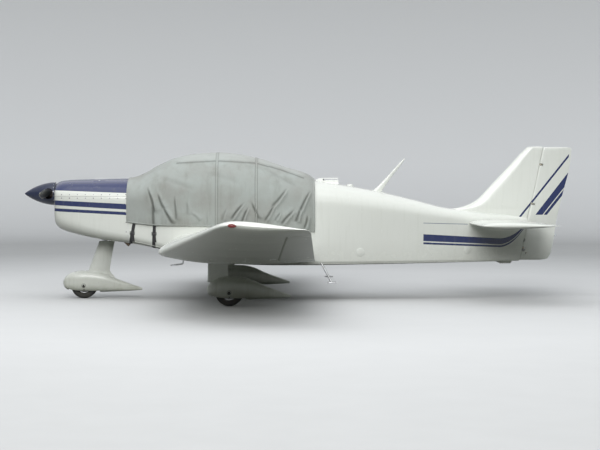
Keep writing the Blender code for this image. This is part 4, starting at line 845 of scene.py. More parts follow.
def buildFin():
    heights = spread(1.0, 1.26, 20) + spread(1.28, 1.87, 20) + spread(1.885, 1.93, 10)
    rings = []
    for height, front, half in smoothRows(tail["fin"], heights):
        points = finOutline(front, rudderHinge(height) + 0.04, half)
        rings.append([at(s, w, height) for s, w in points] + [at(s, -w, height) for s, w in points[:0:-1]])
    fin = loft("finSkin", rings, "tail")
    carve(fin, rudderBay())
    fit(evenOut(fin), "airframe", "white_airframe", "fin")
    heights = spread(0.486, 0.50, 4) + spread(0.515, 1.87, 62) + spread(1.882, 1.922, 9)
    rings = []
    for height, back, half in smoothRows(tail["rudder"], heights):
        hinge = rudderHinge(height)
        near = min(abs(height - rib) for rib in tail["ribs"])
        sag = 0.0016 * min(1.0, near / 0.05) if 0.72 < height < 1.84 else 0.0
        flank = []
        for share in spread(0, 1, 15)[1:]:
            width = 1 - 0.76 * share if share < 0.5 else 0.62 - 1.04 * (share - 0.5)
            hollow = sag * sin(pi * min(1.0, share * 1.15))
            flank.append((hinge + (back - hinge) * share, half * max(width, 0.10) - max(0.0, hollow)))
        outline = arc((hinge, 0), half, 90, 270, 17) + [(s, -w) for s, w in flank] + flank[::-1]
        rings.append([at(s, w, height) for s, w in outline])
    rudder = loft("rudderSkin", rings, "rudder")
    notches = []
    for number, (height, notch, reach) in enumerate(tail["lugs"]):
        centre = at(rudderHinge(height), 0, height)
        notches.append(makeLug(f"rudderLug{number}", "airframe", centre, (tail["rake"], 0, 1), reach, notch))
    carve(rudder, *notches)
    fit(evenOut(rudder), "rudder", "white_airframe", "rudder")
    # horn for the cables at the rudder's foot
    horn = []
    for _, side in hands:
        root, tip = at(6.40, side * 0.018, 0.575), at(6.372, side * 0.074, 0.575)
        lift = Vector((0, 0, 0.011))
        horn.append(swept("horn", [root, root.lerp(tip, 0.5), tip], 0.007, "cadmium", 12, 0.45))
        horn.append(rod("hornPin", tip - lift, tip + lift, 0.0035, "steel", bead=0.0008))
    fit(joinAll("rudderHorn", horn), "rudder", "bare_alloy")
    profile = [(0.0, 0.0), (0.0, 0.0155), (0.004, 0.0155)]
    profile += [(0.004 + 0.022 * sin(t), 0.0145 * cos(t)) for t in spread(0, pi / 2, 12)]
    seat = at(rowAt(tail["rudder"], 0.8)[1] + 0.0028, 0, 0.8)
    fit(turned("tailLens", profile, seat, (1, 0, 0), "lens", 48), "rudder", "clear_lens", "tail_light")
    ring = ((-0.002, 0.0), (-0.002, 0.0185), (0.0035, 0.0185), (0.0035, 0.0158), (0.0005, 0.0158), (0.0005, 0.0))
    fit(turned("tailLampRing", ring, seat, (1, 0, 0), "alloy", 48, bead=0.0006), "rudder", "bare_alloy")
    print("fin and rudder built")


# Wings: section shares, sizes of the two panels and of what hangs on them
wing = {
    "chord": 1.71, "tipChord": 0.90, "front": 1.92, "tipFront": 2.66, "noseHeight": 0.722,
    "incidence": radians(3.35), "crank": 2.95, "halfSpan": 4.3475, "dihedral": radians(13.5),
    "thickness": 0.135, "tipThickness": 0.115, "trailing": 0.005, "steps": 38,
    "tip": ((0.0, 0.860, 0.18), (0.010, 0.900, 0.46), (0.040, 0.950, 0.76), (0.095, 0.985, 0.94), (0.170, 1.0, 1.0)),
    "ribPitch": 0.295, "ribSag": 0.0024, "gap": 0.0006,
    "flap": {"hinge": 0.795, "spans": (0.62, 2.88), "lips": (96, 208)},
    "aileron": {"hinge": 0.775, "spans": (3.06, 4.10), "lips": (112, 248)},
    "lampSpan": (2.42, 2.72), "lampDepth": 0.060,
}


def camberLine(x):
    turn, gain = 0.2025, 15.957
    if x < turn:
        return gain / 6 * (x**3 - 3 * turn * x**2 + turn**2 * (3 - turn) * x)
    return gain * turn**3 / 6 * (1 - x)


def halfThickness(x, thickness):
    return 5 * thickness * (0.2969 * sqrt(x) - 0.1260 * x - 0.3516 * x**2 + 0.2843 * x**3 - 0.1036 * x**4)


def panelAt(span):
    outboard = max(0.0, span - wing["crank"])
    share = outboard / (wing["halfSpan"] - wing["crank"])
    tilt = wing["dihedral"] if outboard > 0.001 else 0.0
    if abs(span - wing["crank"]) <= 0.001:
        tilt = wing["dihedral"] / 2
    return {
        "span": span,
        "tilt": tilt,
        "chord": wing["chord"] + (wing["tipChord"] - wing["chord"]) * share,
        "front": wing["front"] + (wing["tipFront"] - wing["front"]) * share,
        "height": wing["noseHeight"] + outboard * tan(wing["dihedral"]),
        "thickness": wing["thickness"] + (wing["tipThickness"] - wing["thickness"]) * share,
    }


def wingPoint(panel, aft, up, side):
    lean = wing["incidence"]
    station = panel["front"] + aft * cos(lean) + up * sin(lean)
    rise = up * cos(lean) - aft * sin(lean)
    return at(station, side * (panel["span"] - rise * tan(panel["tilt"])), panel["height"] + rise)


def wingRing(span, side, chordShare=1.0, thickShare=1.0, sag=0.0, grow=0.0):
    panel = panelAt(span)
    chord = panel["chord"] * chordShare + 2 * grow
    shift = panel["chord"] * (1 - chordShare) * 0.62 - grow
    thickness = panel["thickness"] * thickShare / chordShare + 2 * grow / panel["chord"]
    upper, lower = [], []
    for k in range(wing["steps"] + 1):
        x = 0.5 * (1 + cos(pi * k / wing["steps"]))
        half = halfThickness(x, thickness) * chord + wing["trailing"] / 2 * x
        hollow = sag * sin(pi * min(1.0, max(0.0, (x - 0.14) / 0.62))) ** 0.7
        upper.append((x * chord, camberLine(x) * chord + half - hollow))
        lower.append((x * chord, camberLine(x) * chord - half + hollow))
    return [wingPoint(panel, aft + shift, up, side) for aft, up in upper + lower[-2::-1]]


def ribSag(span):
    # fabric drawn in between the ribs
    share = (span / wing["ribPitch"]) % 1.0
    return wing["ribSag"] * (1 - abs(2 * share - 1) ** 3.5)


def sectionAt(panel, x):
    # the middle line's height and half the thickness at a share of the chord
    half = halfThickness(x, panel["thickness"]) * panel["chord"] + wing["trailing"] / 2 * x
    return camberLine(x) * panel["chord"], half


def hingeOf(panel, share):
    return share * panel["chord"], *sectionAt(panel, share)


def ribSpans(low, high):
    spans, span = [low], low
    while span < high - 0.02:
        span = min(high, span + wing["ribPitch"] / 7)
        spans.append(span)
    return spans


def surfaceRing(span, share, side, sag):
    panel = panelAt(span)
    aft, up, radius = hingeOf(panel, share)
    flank = []
    for k in range(1, 13):
        x = share + (1 - share) * k / 12
        mean, half = sectionAt(panel, x)
        flank.append((x * panel["chord"], mean, half - sag * sin(pi * k / 12)))
    outline = arc((aft, up), radius, 90, 270, 17) + [(x, mean - half) for x, mean, half in flank]
    outline += [(x, mean + half) for x, mean, half in reversed(flank)]
    return [wingPoint(panel, a, u, side) for a, u in outline]


def buildSurface(kind, name, side):
    # a flap or aileron with its end pins, and the cutter of the bay that it swings in
    spec = wing[kind]
    share, (low, high) = spec["hinge"], spec["spans"]
    rings = [surfaceRing(span, share, side, 0.3 * ribSag(span)) for span in ribSpans(low, high)]
    rings[0], rings[-1] = surfaceRing(low, share, side, 0), surfaceRing(high, share, side, 0)
    surface = loft(kind + "Skin_" + name, rings, "wing")
    ends = []
    for span in (low, high):
        panel = panelAt(span)
        aft, up, _ = hingeOf(panel, share)
        ends.append(wingPoint(panel, aft, up, side))
    along = (ends[1] - ends[0]).normalized() * 0.028
    pins, bores = [], []
    for point in ends:
        pins.append(rod("pin", point - along, point + along, 0.0068, "steel", sides=24, bead=0.001))
        bores.append(rod("bore", point - along * 1.04, point + along * 1.04, 0.0078, sides=24))
    carve(surface, *bores)
    fit(evenOut(surface), f"{kind}_{name}", "white_wing", f"{kind}_{name}")
    fit(joinAll(f"{kind}Pins_{name}", pins), "airframe", "dark_steel")
    rings = []
    for span in (low - 0.010, high + 0.010):
        panel = panelAt(span)
        aft, up, radius = hingeOf(panel, share)
        rings.append([wingPoint(panel, a, u, side) for a, u in bayRing((aft, up), radius + 0.010, spec["lips"], 0.8)])
    return loft("bay", rings, forCutting=True)


def buildWing(name, side):
    inboard, outboard = (wing["crank"] + wing["gap"] * way for way in (-0.5, 0.5))
    bay = buildSurface("flap", name, side)
    rings = [wingRing(span, side, sag=ribSag(span)) for span in ribSpans(0.40, inboard)]
    rings[-1] = wingRing(inboard, side)
    inner = loft("wingInnerSkin_" + name, rings, "wing")
    cutters = [bay]
    if side < 0:
        low, high = wing["lampSpan"]
        cutters.append(block("lampBay", at(1.87, -high, 0.4), at(wing["front"] + wing["lampDepth"], -low, 1.0)))
    carve(inner, *cutters)
    fit(evenOut(inner), "airframe", "white_wing", "wing_inner_" + name)
    bay = buildSurface("aileron", name, side)
    spans = ribSpans(outboard, wing["halfSpan"] - 0.175)
    rings = [wingRing(span, side, sag=ribSag(span)) for span in spans]
    rings[0] = wingRing(outboard, side)
    for inset, chord, thick in reversed(smoothRows(wing["tip"], [0.17 * k**1.7 for k in spread(0, 1, 16)])):
        rings.append(wingRing(wing["halfSpan"] - inset, side, chord, thick))
    outer = loft("wingOuterSkin_" + name, rings, "wing")
    carve(outer, bay)
    fit(evenOut(outer), "airframe", "white_wing", "wing_outer_" + name)
    # a seam tape over the joint at the crank
    spans = (inboard - 0.0447, inboard, outboard, outboard + 0.0447)
    rings = [wingRing(span, side, grow=0.0009) for span in spans]
    tape = loft("crankTape_" + name, rings, "wing")
    y, back = side * wing["crank"], panelAt(wing["crank"])["front"] + 1.32
    low, high = at(back, y - 0.2, 0.3), at(4.2, y + 0.2, 1.2)
    carve(tape, block("behindHinge", low, high))
    fit(tape, "airframe", "white_wing")
    buildWingFittings(name, side)
    print("wing built:", name)


def skinPoint(span, aft, side, upper=False):
    # a point on the wing's skin at a distance aft of its nose
    panel = panelAt(span)
    mean, half = sectionAt(panel, aft / panel["chord"])
    return wingPoint(panel, aft, mean + (half if upper else -half), side)


def buildWingFittings(name, side):
    # fuel filler, inspection plates, drains, tie-down, tip lamp
    cap = ((-0.006, 0), (-0.006, 0.042), (0.001, 0.042), (0.004, 0.036), (0.004, 0.026), (0.0015, 0.024), (0.0015, 0))
    disc = ((-0.006, 0), (-0.006, 0.050), (0.0014, 0.050), (0.0014, 0.046), (0.0008, 0.045), (0.0008, 0))
    parts = []
    for span, aft, profile in ((1.20, 0.42, cap), (1.75, 0.90, disc), (2.55, 0.90, disc)):
        centre, behind = skinPoint(span, aft, side, True), skinPoint(span, aft + 0.05, side, True)
        tilt = (behind - centre).cross(Vector((0, 1, 0))).normalized()
        tilt = tilt if tilt.z > 0 else -tilt
        if profile is cap:
            parts.append(turned("cap", cap, centre, tilt, "alloy", bead=0.0006))
            grip = block("grip", (-0.022, -0.004, 0.0), (0.022, 0.004, 0.006), "alloy", 0.0015)
            grip.matrix_world = facing(centre, tilt)
            parts.append(grip)
        else:
            parts.append(turned("disc", disc, centre, tilt, "wing", bead=0.0004))
    drain = ((-0.016, 0), (-0.014, 0.005), (-0.006, 0.006), (-0.006, 0.010), (0.004, 0.011), (0.004, 0))
    for span, aft in ((1.05, 0.55), (1.05, 1.10), (2.20, 0.75)):
        parts.append(turned("drain", drain, skinPoint(span, aft, side), (0, 0, 1), "cadmium", 24))
    fit(joinAll("wingFittings_" + name, parts), "airframe", "bare_alloy")
    middle = at(2.40, side * 2.55, 0.590)
    low, high = middle - Vector((0.030, 0.030, 0)), middle + Vector((0.030, 0.030, 0.045))
    parts = [block("pad", low, high, "cadmium", 0.004)]
    low, high = middle + Vector((0, 0, 0.001)), middle + Vector((0, 0, 0.02))
    parts.append(rod("shank", low, high, 0.010, "steel", bead=0.002))
    fit(joinAll("tieDownPad_" + name, parts), "airframe", "bare_alloy", "tie_down_" + name)
    centre = wingPoint(panelAt(wing["halfSpan"] - 0.012), 0.115, 0.0, side)
    profile = [(-0.05 + 0.1 * t, 0.0205 * sin(pi * t ** 0.85) ** 0.6) for t in spread(0, 1, 22)]
    colour = "red" if side < 0 else "green"
    lens = turned("tipLens_" + name, profile, centre, (1, 0, 0), colour, 48)
    fit(lens, "airframe", colour + "_lens", "nav_light_" + name)
    saddle = [(-0.062 + 0.124 * t, 0.0150 * sin(pi * t) ** 0.5) for t in spread(0, 1, 16)]
    seat = centre - Vector((0, side * 0.009, 0))
    fit(turned("tipLampSaddle_" + name, saddle, seat, (1, 0, 0), "plain", 48), "airframe", "white_wing")


def buildLandingLight():
    low, high = wing["lampSpan"]
    shell = loft("landingLens", [wingRing(span, -1) for span in spread(low - 0.05, high + 0.05, 5)], "lens")
    rings = [wingRing(span, -1, grow=-0.0025) for span in (low - 0.06, high + 0.06)]
    inner = loft("inner", rings, forCutting=True)
    back = wing["front"] + wing["lampDepth"] - 0.0006
    carve(shell, block("window", at(1.86, -high + 0.0006, 0.4), at(back, -low - 0.0006, 1.0)), operation="INTERSECT")
    carve(shell, inner)
    fit(shell, "airframe", "clear_lens", "landing_light")
    bulb = ((-0.014, 0.0), (-0.012, 0.005), (-0.006, 0.007), (0.0, 0.0))
    bowl = [(0.004 - 0.026 * (r / 0.036) ** 2, r) for r in spread(0.0, 0.036, 12)]
    bowl += [(-0.022, 0.038), (0.006, 0.038), (0.006, 0.0)]
    parts = []
    for span in (2.50, 2.64):
        centre = wingPoint(panelAt(span), 0.052, 0.004, -1)
        parts.append(turned("bowl", bowl, centre, (1, 0, 0), "mirror", 56))
        parts.append(turned("bulb", bulb, centre, (1, 0, 0), "alloy", 24))
    panel = panelAt(2.57)
    foot, head = wingPoint(panel, 0.058, -0.030, -1).z, wingPoint(panel, 0.0595, 0.045, -1).z
    parts.append(block("backPlate", at(1.9775, -high + 0.002, foot), at(1.9795, -low - 0.002, head), "mirror"))
    fit(joinAll("landingLamps", parts), "airframe", "bare_alloy")


# Cowling, with its inlets, and what shows inside them; an inlet is its middle and half its size
cowl = {
    "wall": 0.006, "split": 1.30, "seam": 0.0022, "shaftHeight": 1.33,
    "inlet": (0.205, 1.315, 0.068, 0.055), "chin": (0.0, 1.085, 0.085, 0.040), "squareness": 0.6,
    "fasteners": 9, "fastenerRadius": 0.0085,
}


def roundedBar(name, centre, size, power, stations):
    outline = rounded(centre, size, power, 48)
    return loft(name, [[at(station, y, z) for y, z in outline] for station in stations], forCutting=True)


def noseAxis(height):
    return at(0.785 + height * tan(radians(17)), 0, height)


def cowlHalf(name, upper):
    stations = [0.415, 0.417, 0.419, 0.422, 0.427, 0.435, 0.445, 0.460, 0.480, 0.500] + spread(0.53, 1.3545, 26)
    outer = loft(name, [hullRing(s, "frontDeck") for s in stations], "cowl")
    inside = [0.421, 0.430, 0.445, 0.480] + spread(0.52, 1.36, 16)
    cavity = loft("cavity", [hullRing(s, "frontDeck", -cowl["wall"]) for s in inside], "inside")
    cut, shaft = cowl["split"] + cowl["seam"] / (2 if upper else -2), cowl["shaftHeight"]
    low, high = (0.2, cut) if upper else (cut, 2.0)
    cutters = [cavity, block("trim", at(0.2, -1, low), at(1.6, 1, high))]
    cutters.append(rod("shaftHole", at(0.3, 0, shaft), at(0.5, 0, shaft), 0.085, sides=64))
    y, z, *size = cowl["inlet"]
    for _, side in hands:
        cutters.append(roundedBar("inlet", (side * y, z), size, cowl["squareness"], (0.36, 0.47)))
    if not upper:
        y, z, *size = cowl["chin"]
        cutters.append(roundedBar("chin", (y, z), size, 1.0, (0.36, 0.47)))
        cutters.append(rod("legHole", noseAxis(0.60), noseAxis(0.90), 0.060, sides=48))
        cutters.append(block("outlet", at(1.20, -0.20, 0.60), at(1.40, 0.20, 0.80)))
    carve(outer, *cutters)
    fit(evenOut(outer), "airframe", "white_paint", "cowl_upper" if upper else "cowl_lower")


def inletLip(name, path):
    rings = []
    for k, point in enumerate(path):
        along = (path[(k + 1) % len(path)] - path[k - 1]).normalized()
        side = along.cross(Vector((1, 0, 0))).normalized()
        other = along.cross(side)
        rings.append([point + 0.0028 * (c * side + s * other) for c, s in around(10)])
    fit(loft("inletLip_" + name, rings, "cowl", 60, closed=True), "airframe", "white_paint")


def buildCowl():
    cowlHalf("cowlUpperSkin", True)
    cowlHalf("cowlLowerSkin", False)
    # quarter-turn fasteners along the split and up the firewall's edge
    places = []
    for _, side in hands:
        for station in spread(0.52, 1.33, cowl["fasteners"]):
            places += [(station, cowl["split"] + rise, side) for rise in (0.022, -0.022)]
        places += [(1.335, height, side) for height in (0.86, 0.98, 1.10, 1.20)]
    radius = cowl["fastenerRadius"]
    washer = ((-0.002, 0), (-0.002, radius), (0.0012, radius), (0.0018, radius * 0.75), (0.0018, 0))
    head = ((0, 0), (0, 0.0052), (0.0026, 0.0046), (0.0030, 0))
    parts = []
    for station, height, side in places:
        y = hullReach(station, height, "frontDeck")
        ahead, above = hullReach(station + 0.02, height, "frontDeck"), hullReach(station, height + 0.01, "frontDeck")
        out = Vector(((y - ahead) / 0.02, side, (y - above) / 0.01)).normalized()
        parts.append(turned("washer", washer, at(station, side * y, height), out, "alloy", 24))
        parts.append(turned("head", head, at(station, side * y, height), out, "steel", 20))
    fit(joinAll("cowlFasteners", parts), "airframe", "bare_alloy")
    # oil filler door with its piano hinge, and a lift-up latch beside it
    door = deckPatch("oilDoor", (0.905, 1.045), (-0.245, -0.105), 0.0022, "cowl", "frontDeck")
    fit(door, "airframe", "blue_paint")
    hinge = [at(s, -0.098, hullTop(s, -0.098, "frontDeck") + 0.0022) for s in spread(0.905, 1.045, 8)]
    parts = [swept("hinge", hinge, 0.0032, "alloy", 12)]
    latch = at(0.975, -0.236, hullTop(0.975, -0.236, "frontDeck") + 0.003)
    parts.append(rod("latch", latch, latch + Vector((0, -0.0012, 0.0026)), 0.010, "alloy", sides=28, bead=0.0008))
    fit(joinAll("oilDoorHinge", parts), "airframe", "bare_alloy")
    # lip round each air inlet, and the finned cylinders behind them
    y, z, width, height = cowl["inlet"]
    for name, side in hands:
        lip = rounded((side * y, z), (width + 0.002, height + 0.002), cowl["squareness"], 64)
        inletLip(name, [at(0.4165, across, up) for across, up in lip])
        parts = []
        for k in range(12):
            depth = 0.485 + 0.0075 * k
            low, high = at(depth, side * y - 0.062, z - 0.050), at(depth + 0.0022, side * y + 0.062, z + 0.044)
            parts.append(block("fin", low, high, "black", 0.0008))
        low, high = at(0.482, side * y, z - 0.004), at(0.578, side * y, z - 0.004)
        parts.append(rod("barrel", low, high, 0.042, "steel", bead=0.003))
        plug = at(0.50, side * (y - 0.03), z)
        parts.append(rod("plug", plug, plug + Vector((0, 0, 0.048)), 0.008, "cadmium", sides=6, bead=0.001))
        fit(joinAll("cylinderFins_" + name, parts), "airframe", "dark_steel")
    y, z, width, height = cowl["chin"]
    parts = [roundedBar("filterBack", (y, z), (width - 0.002, height - 0.002), 1.0, (0.446, 0.452))]
    parts[0].data.materials.append(finishes["black"])
    for k in range(-7, 8):
        reach = (height - 0.003) * sqrt(max(0.0, 1 - (k * 0.0115 / (width - 0.002)) ** 2))
        low, high = at(0.442, k * 0.0115, z - reach), at(0.442, k * 0.0115, z + reach)
        parts.append(rod("pleat", low, high, 0.0022, "alloy", sides=10))
    for k in range(-2, 3):
        reach, up = (width - 0.003) * sqrt(max(0.0, 1 - (k * 0.0125 / (height - 0.002)) ** 2)), z + k * 0.0125
        parts.append(rod("wire", at(0.4395, -reach, up), at(0.4395, reach, up), 0.0014, "alloy", sides=10))
    fit(joinAll("chinFilter", parts), "airframe", "dark_steel")
    seam = []
    for _, side in hands:
        path = []
        for station in spread(0.50, 1.35, 30):
            path.append(at(station, side * (hullReach(station, cowl["split"], "frontDeck") - 0.003), cowl["split"]))
        seam.append(swept("gasket", path, 0.0026, "rubber", 8))
    fit(joinAll("cowlGasket", seam), "airframe", "tyre_rubber")
    print("cowling built")


# Propeller and spinner
prop = {
    "station": 0.315, "radius": 0.90, "hub": 0.075, "hubBack": 0.0795, "shaft": 0.040, "height": 1.33,
    "spinnerLength": 0.395, "spinnerRadius": 0.145, "wall": 0.004, "cutout": 0.068,
    "tipMark": 0.83, "edgeStart": 0.46,
}


def bladeRing(radius, side):
    share = (radius - 0.10) / (prop["radius"] - 0.10)
    chord = 0.085 + 0.055 * sin(pi * min(1.0, share * 1.15 + 0.1)) - 0.22 * max(0, share - 0.75)
    if share > 0.9625:  # rounded tip
        chord *= sqrt(max(0.0, 1 - ((share - 0.9625) / 0.0376) ** 2)) * 0.75 + 0.25
    thickness = 0.050 * (1 - min(1.0, share)) ** 1.5 + 0.008
    pitch = atan2(1.25, 2 * pi * max(radius, 0.16))
    ring = []
    for c, s in around(40):
        along, across = 0.5 * chord * c, 0.5 * thickness * s
        station = prop["station"] - along * sin(pitch) * side + across * cos(pitch)
        rise = along * cos(pitch) + side * across * sin(pitch)
        ring.append(at(station, side * radius, prop["height"] + rise))
    return ring


def buildPropeller():
    centre = at(prop["station"], 0, prop["height"])
    radii = spread(0.02, 0.86, 34) + [prop["radius"] - 0.04 * (1 - t) ** 2 for t in spread(0.05, 1, 14)]
    parts = []
    for _, side in hands:
        blade = loft("blade", [bladeRing(r, side) for r in radii], "black", 50)
        for title in ("tipMark", "alloy"):
            blade.data.materials.append(finishes[title])
        for face in blade.data.polygons:
            reach = abs(face.center.y)
            if prop["tipMark"] < reach < prop["tipMark"] + 0.045:
                face.material_index = 1
            elif reach > prop["edgeStart"] and face.center.z > prop["height"] and abs(face.normal.z) > 0.80:
                face.material_index = 2
        parts.append(blade)
    hubProfile = [(-0.045, 0), (-0.045, prop["hub"]), (prop["hubBack"], prop["hub"]), (prop["hubBack"], 0)]
    parts.append(turned("hub", hubProfile, centre, (1, 0, 0), "steel", 56, bead=0.003))
    parts.append(rod("shaft", centre, at(0.668, 0, prop["height"]), prop["shaft"], "steel", sides=48))
    for c, s in around(6, 0.5):
        seat = centre + Vector((-0.045, 0.052 * c, 0.052 * s))
        parts.append(rod("bolt", seat, seat - Vector((0.010, 0, 0)), 0.009, "cadmium", sides=6, bead=0.001))
    fit(joinAll("propellerBlades", parts), "propeller", "black_paint", "propeller")
    profile = []
    for k in range(49):
        share = (k / 48) ** 1.35
        profile.append((prop["spinnerLength"] * share, prop["spinnerRadius"] * sin(pi / 2 * share) ** 0.80))
    inner = [(0.020, 0.0)] + [(along, radius - prop["wall"]) for along, radius in profile if radius > 0.03]
    tip = at(0, 0, prop["height"])
    shell = turned("spinnerShell", profile + inner[::-1], tip, (1, 0, 0), "navy", 96, closed=True)
    ends = [at(prop["station"], side * 0.3, prop["height"]) for _, side in hands]
    carve(shell, *[rod("cutout", centre, end, prop["cutout"], sides=56) for end in ends])
    fit(evenOut(shell), "propeller", "blue_paint", "spinner")
    back = ((0, prop["hub"] + 0.001), (0, 0.1412), (0.004, 0.1412), (0.004, prop["hub"] + 0.001))
    seat = at(prop["spinnerLength"] - 0.0045, 0, prop["height"])
    parts = [turned("backPlate", back, seat, (1, 0, 0), "alloy", 96, closed=True)]
    screw = ((0, 0), (0, 0.0045), (0.0012, 0.0042), (0.0018, 0))
    for c, s in around(16, 0.5):
        spoke = Vector((0, c, s))
        parts.append(turned("screw", screw, at(0.380, 0, prop["height"]) + spoke * 0.1440, spoke, "alloy", 16))
    fit(joinAll("spinnerBack", parts), "propeller", "bare_alloy")
    print("propeller built")


# Undercarriage
gear = {
    "tyreRadius": 0.1664, "axleHeight": 0.16656, "tyreHalf": 0.0625, "rimRadius": 0.095, "axleRadius": 0.0123,
    "noseAxle": 0.755, "mainAxle": 2.640, "mainSpan": 1.290, "strutStation": 2.460,
    "spat": (  # aft of the axle, half width, bottom, top
        (-0.268, 0.026, 0.178, 0.220), (-0.250, 0.066, 0.140, 0.256), (-0.200, 0.097, 0.106, 0.306),
        (-0.120, 0.109, 0.086, 0.340), (-0.020, 0.112, 0.080, 0.353), (0.100, 0.112, 0.078, 0.351),
        (0.240, 0.101, 0.080, 0.322), (0.400, 0.074, 0.086, 0.252), (0.580, 0.042, 0.094, 0.184),
        (0.735, 0.010, 0.104, 0.130),
    ),
    "spatSquareness": 0.65, "spatWall": 0.004, "spatJoint": 0.205,
    # the fairings' and the foot's height, chord, half thickness
    "noseFairing": ((0.345, 0.270, 0.052), (0.400, 0.258, 0.050), (0.550, 0.225, 0.048), (0.728, 0.195, 0.046)),
    "noseFoot": (
        (0.262, 0.415, 0.076), (0.285, 0.375, 0.069), (0.305, 0.338, 0.0635), (0.325, 0.303, 0.058),
        (0.346, 0.281, 0.0545),
    ),
    "mainFairing": ((0.285, 0.255, 0.052), (0.420, 0.240, 0.050), (0.700, 0.240, 0.050)),
}


def spatRing(row, axleStation, y, shrink=0.0):
    offset, half, bottom, top = row
    size = half - shrink, (top - bottom) / 2 - shrink
    outline = rounded((y, (top + bottom) / 2), size, gear["spatSquareness"], 56)
    return [at(axleStation + offset, across, up) for across, up in outline]


def spatReach(offset, height):
    _, half, bottom, top = rowAt(gear["spat"], offset)
    return half * curveAt(abs(height - (top + bottom) / 2) / ((top - bottom) / 2), gear["spatSquareness"])


def buildSpat(name, node, body, axleStation, y, strutHole):
    offsets = [-0.268 + 0.07 * (k / 12) ** 1.8 for k in range(12)] + spread(-0.19, 0.735, 48)
    rows = smoothRows(gear["spat"], offsets)
    shell = loft(name, [spatRing(row, axleStation, y) for row in rows], "spat")
    rows = smoothRows(gear["spat"], spread(-0.246, 0.42, 30))
    hollow = loft("hollow", [spatRing(row, axleStation, y, gear["spatWall"]) for row in rows], "inside")
    slot = block("slot", at(axleStation - 0.205, y - 0.080, 0.02), at(axleStation + 0.205, y + 0.080, 0.16))
    slot = roundEdges(slot, 0.018, 4)
    axle = at(axleStation, y, gear["axleHeight"])
    reach = Vector((0, 0.2, 0))
    carve(shell, hollow, slot, strutHole, rod("axleHole", axle - reach, axle + reach, 0.0145, sides=32))
    fit(evenOut(shell), body, "white_paint", node)
    # round covers over the axle's ends, a small filler hole below each, and screws where the halves meet
    cup = ((-0.004, 0.0), (-0.004, 0.0260), (0.0014, 0.0260), (0.0014, 0.0225), (-0.0015, 0.0205), (-0.0015, 0.0))
    nut = ((-0.004, 0), (-0.004, 0.0125), (0.0035, 0.0125), (0.0055, 0.010), (0.0055, 0))
    bung = ((-0.004, 0), (-0.004, 0.009), (0.0012, 0.009), (0.0012, 0.0055), (0, 0.0055), (0, 0))
    screw = ((-0.002, 0), (-0.002, 0.0048), (0.0008, 0.0048), (0.0016, 0.003), (0.0016, 0))
    middle, low, joint = gear["axleHeight"], gear["axleHeight"] - 0.052, gear["spatJoint"]
    parts = []
    for side in (-1, 1):
        seat = at(axleStation, y + side * spatReach(0.0, middle), middle)
        parts.append(turned("cup", cup, seat, (0, side, 0), "rubber", 48, bead=0.0005))
        parts.append(turned("nut", nut, seat, (0, side, 0), "rubber", 6))
        seat = at(axleStation + 0.004, y + side * spatReach(0.004, low), low)
        parts.append(turned("bung", bung, seat, (0, side, 0), "rubber", 32))
        for offset in (-0.17, -0.12, 0.19, 0.25, 0.31):
            seat = at(axleStation + offset, y + side * spatReach(offset, joint), joint)
            slope = (spatReach(offset + 0.01, joint) - spatReach(offset - 0.01, joint)) / 0.02
            parts.append(turned("screw", screw, seat, Vector((-slope, side, 0)).normalized(), "alloy", 18))
    fit(joinAll(name + "Fittings", parts), body, "dark_steel")


def legRing(centre, chord, half, sides=44):
    ring = []
    for c, s in around(sides):
        aft = 0.5 * (1 - c)
        across = copysign(halfThickness(aft, 1.0) * 2 * half, s) if 0 < aft < 1 else 0.0
        ring.append(centre + Vector((chord * aft - 0.32 * chord, across, 0)))
    return ring


def buildWheel(name, bodies, axleStation, y):
    centre = at(axleStation, y, gear["axleHeight"])
    half, radius, rim = gear["tyreHalf"], gear["tyreRadius"], gear["rimRadius"]
    tread = [(half * 0.60, radius - 0.0006)]
    for groove in (0.36, 0.12):
        mid, width, floor = half * groove, 0.0022, radius - 0.004
        tread += [(mid + width, radius), (mid + width * 0.8, floor), (mid - width * 0.8, floor), (mid - width, radius)]
    shoulder = []
    for t in spread(0.15, pi / 2, 9):
        shoulder.append((half * (0.60 + 0.40 * sin(t)), radius - 0.0006 - 0.030 * (1 - cos(t)) ** 1.2))
    wall = [(half * share, rim + rise) for share, rise in ((1, 0.030), (0.985, 0.022), (0.93, 0.012), (0.80, 0.003))]
    right = [(0.040, rim)] + wall[::-1] + shoulder[::-1] + tread
    profile = [(-a, r) for a, r in right] + right[::-1]
    made = turned(name + "Tyre", profile, centre, (0, 1, 0), "rubber", 128, closed=True, crease=42)
    fit(made, bodies, "tyre_rubber", nodeOf(name, "tyre"))
    bore = gear["axleRadius"] + 0.001
    flank = [(-0.048, bore), (-0.048, 0.030), (-0.012, 0.042), (-0.014, 0.062), (-0.034, 0.080)]
    flank += [(-0.040, 0.0945), (-0.036, 0.0945)]
    outline = flank + [(-a, r) for a, r in flank[::-1]]
    parts = [turned("rim", outline, centre, (0, 1, 0), "alloy", 96, closed=True, bead=0.0012)]
    for side in (-1, 1):
        for c, s in around(6):
            seat = centre + Vector((0.052 * c, side * 0.0130, 0.052 * s))
            end = seat + Vector((0, side * 0.010, 0))
            parts.append(rod("bolt", seat, end, 0.0058, "cadmium", sides=6, bead=0.0008))
    turn = radians(205)
    seat = centre + Vector((0.070 * cos(turn), -0.022, 0.070 * sin(turn)))
    parts.append(rod("valve", seat, seat - Vector((0, 0.018, 0)), 0.0038, "rubber", endRadius=0.003, bead=0.0006))
    fit(joinAll(name + "Rim", parts), bodies, "bare_alloy", nodeOf(name, "rim"))


def nodeOf(name, kind):
    # noseWheel -> nose_tyre, mainWheel_left -> main_tyre_left
    head, _, tail_ = name.partition("Wheel")
    return f"{head}_{kind}{tail_}"


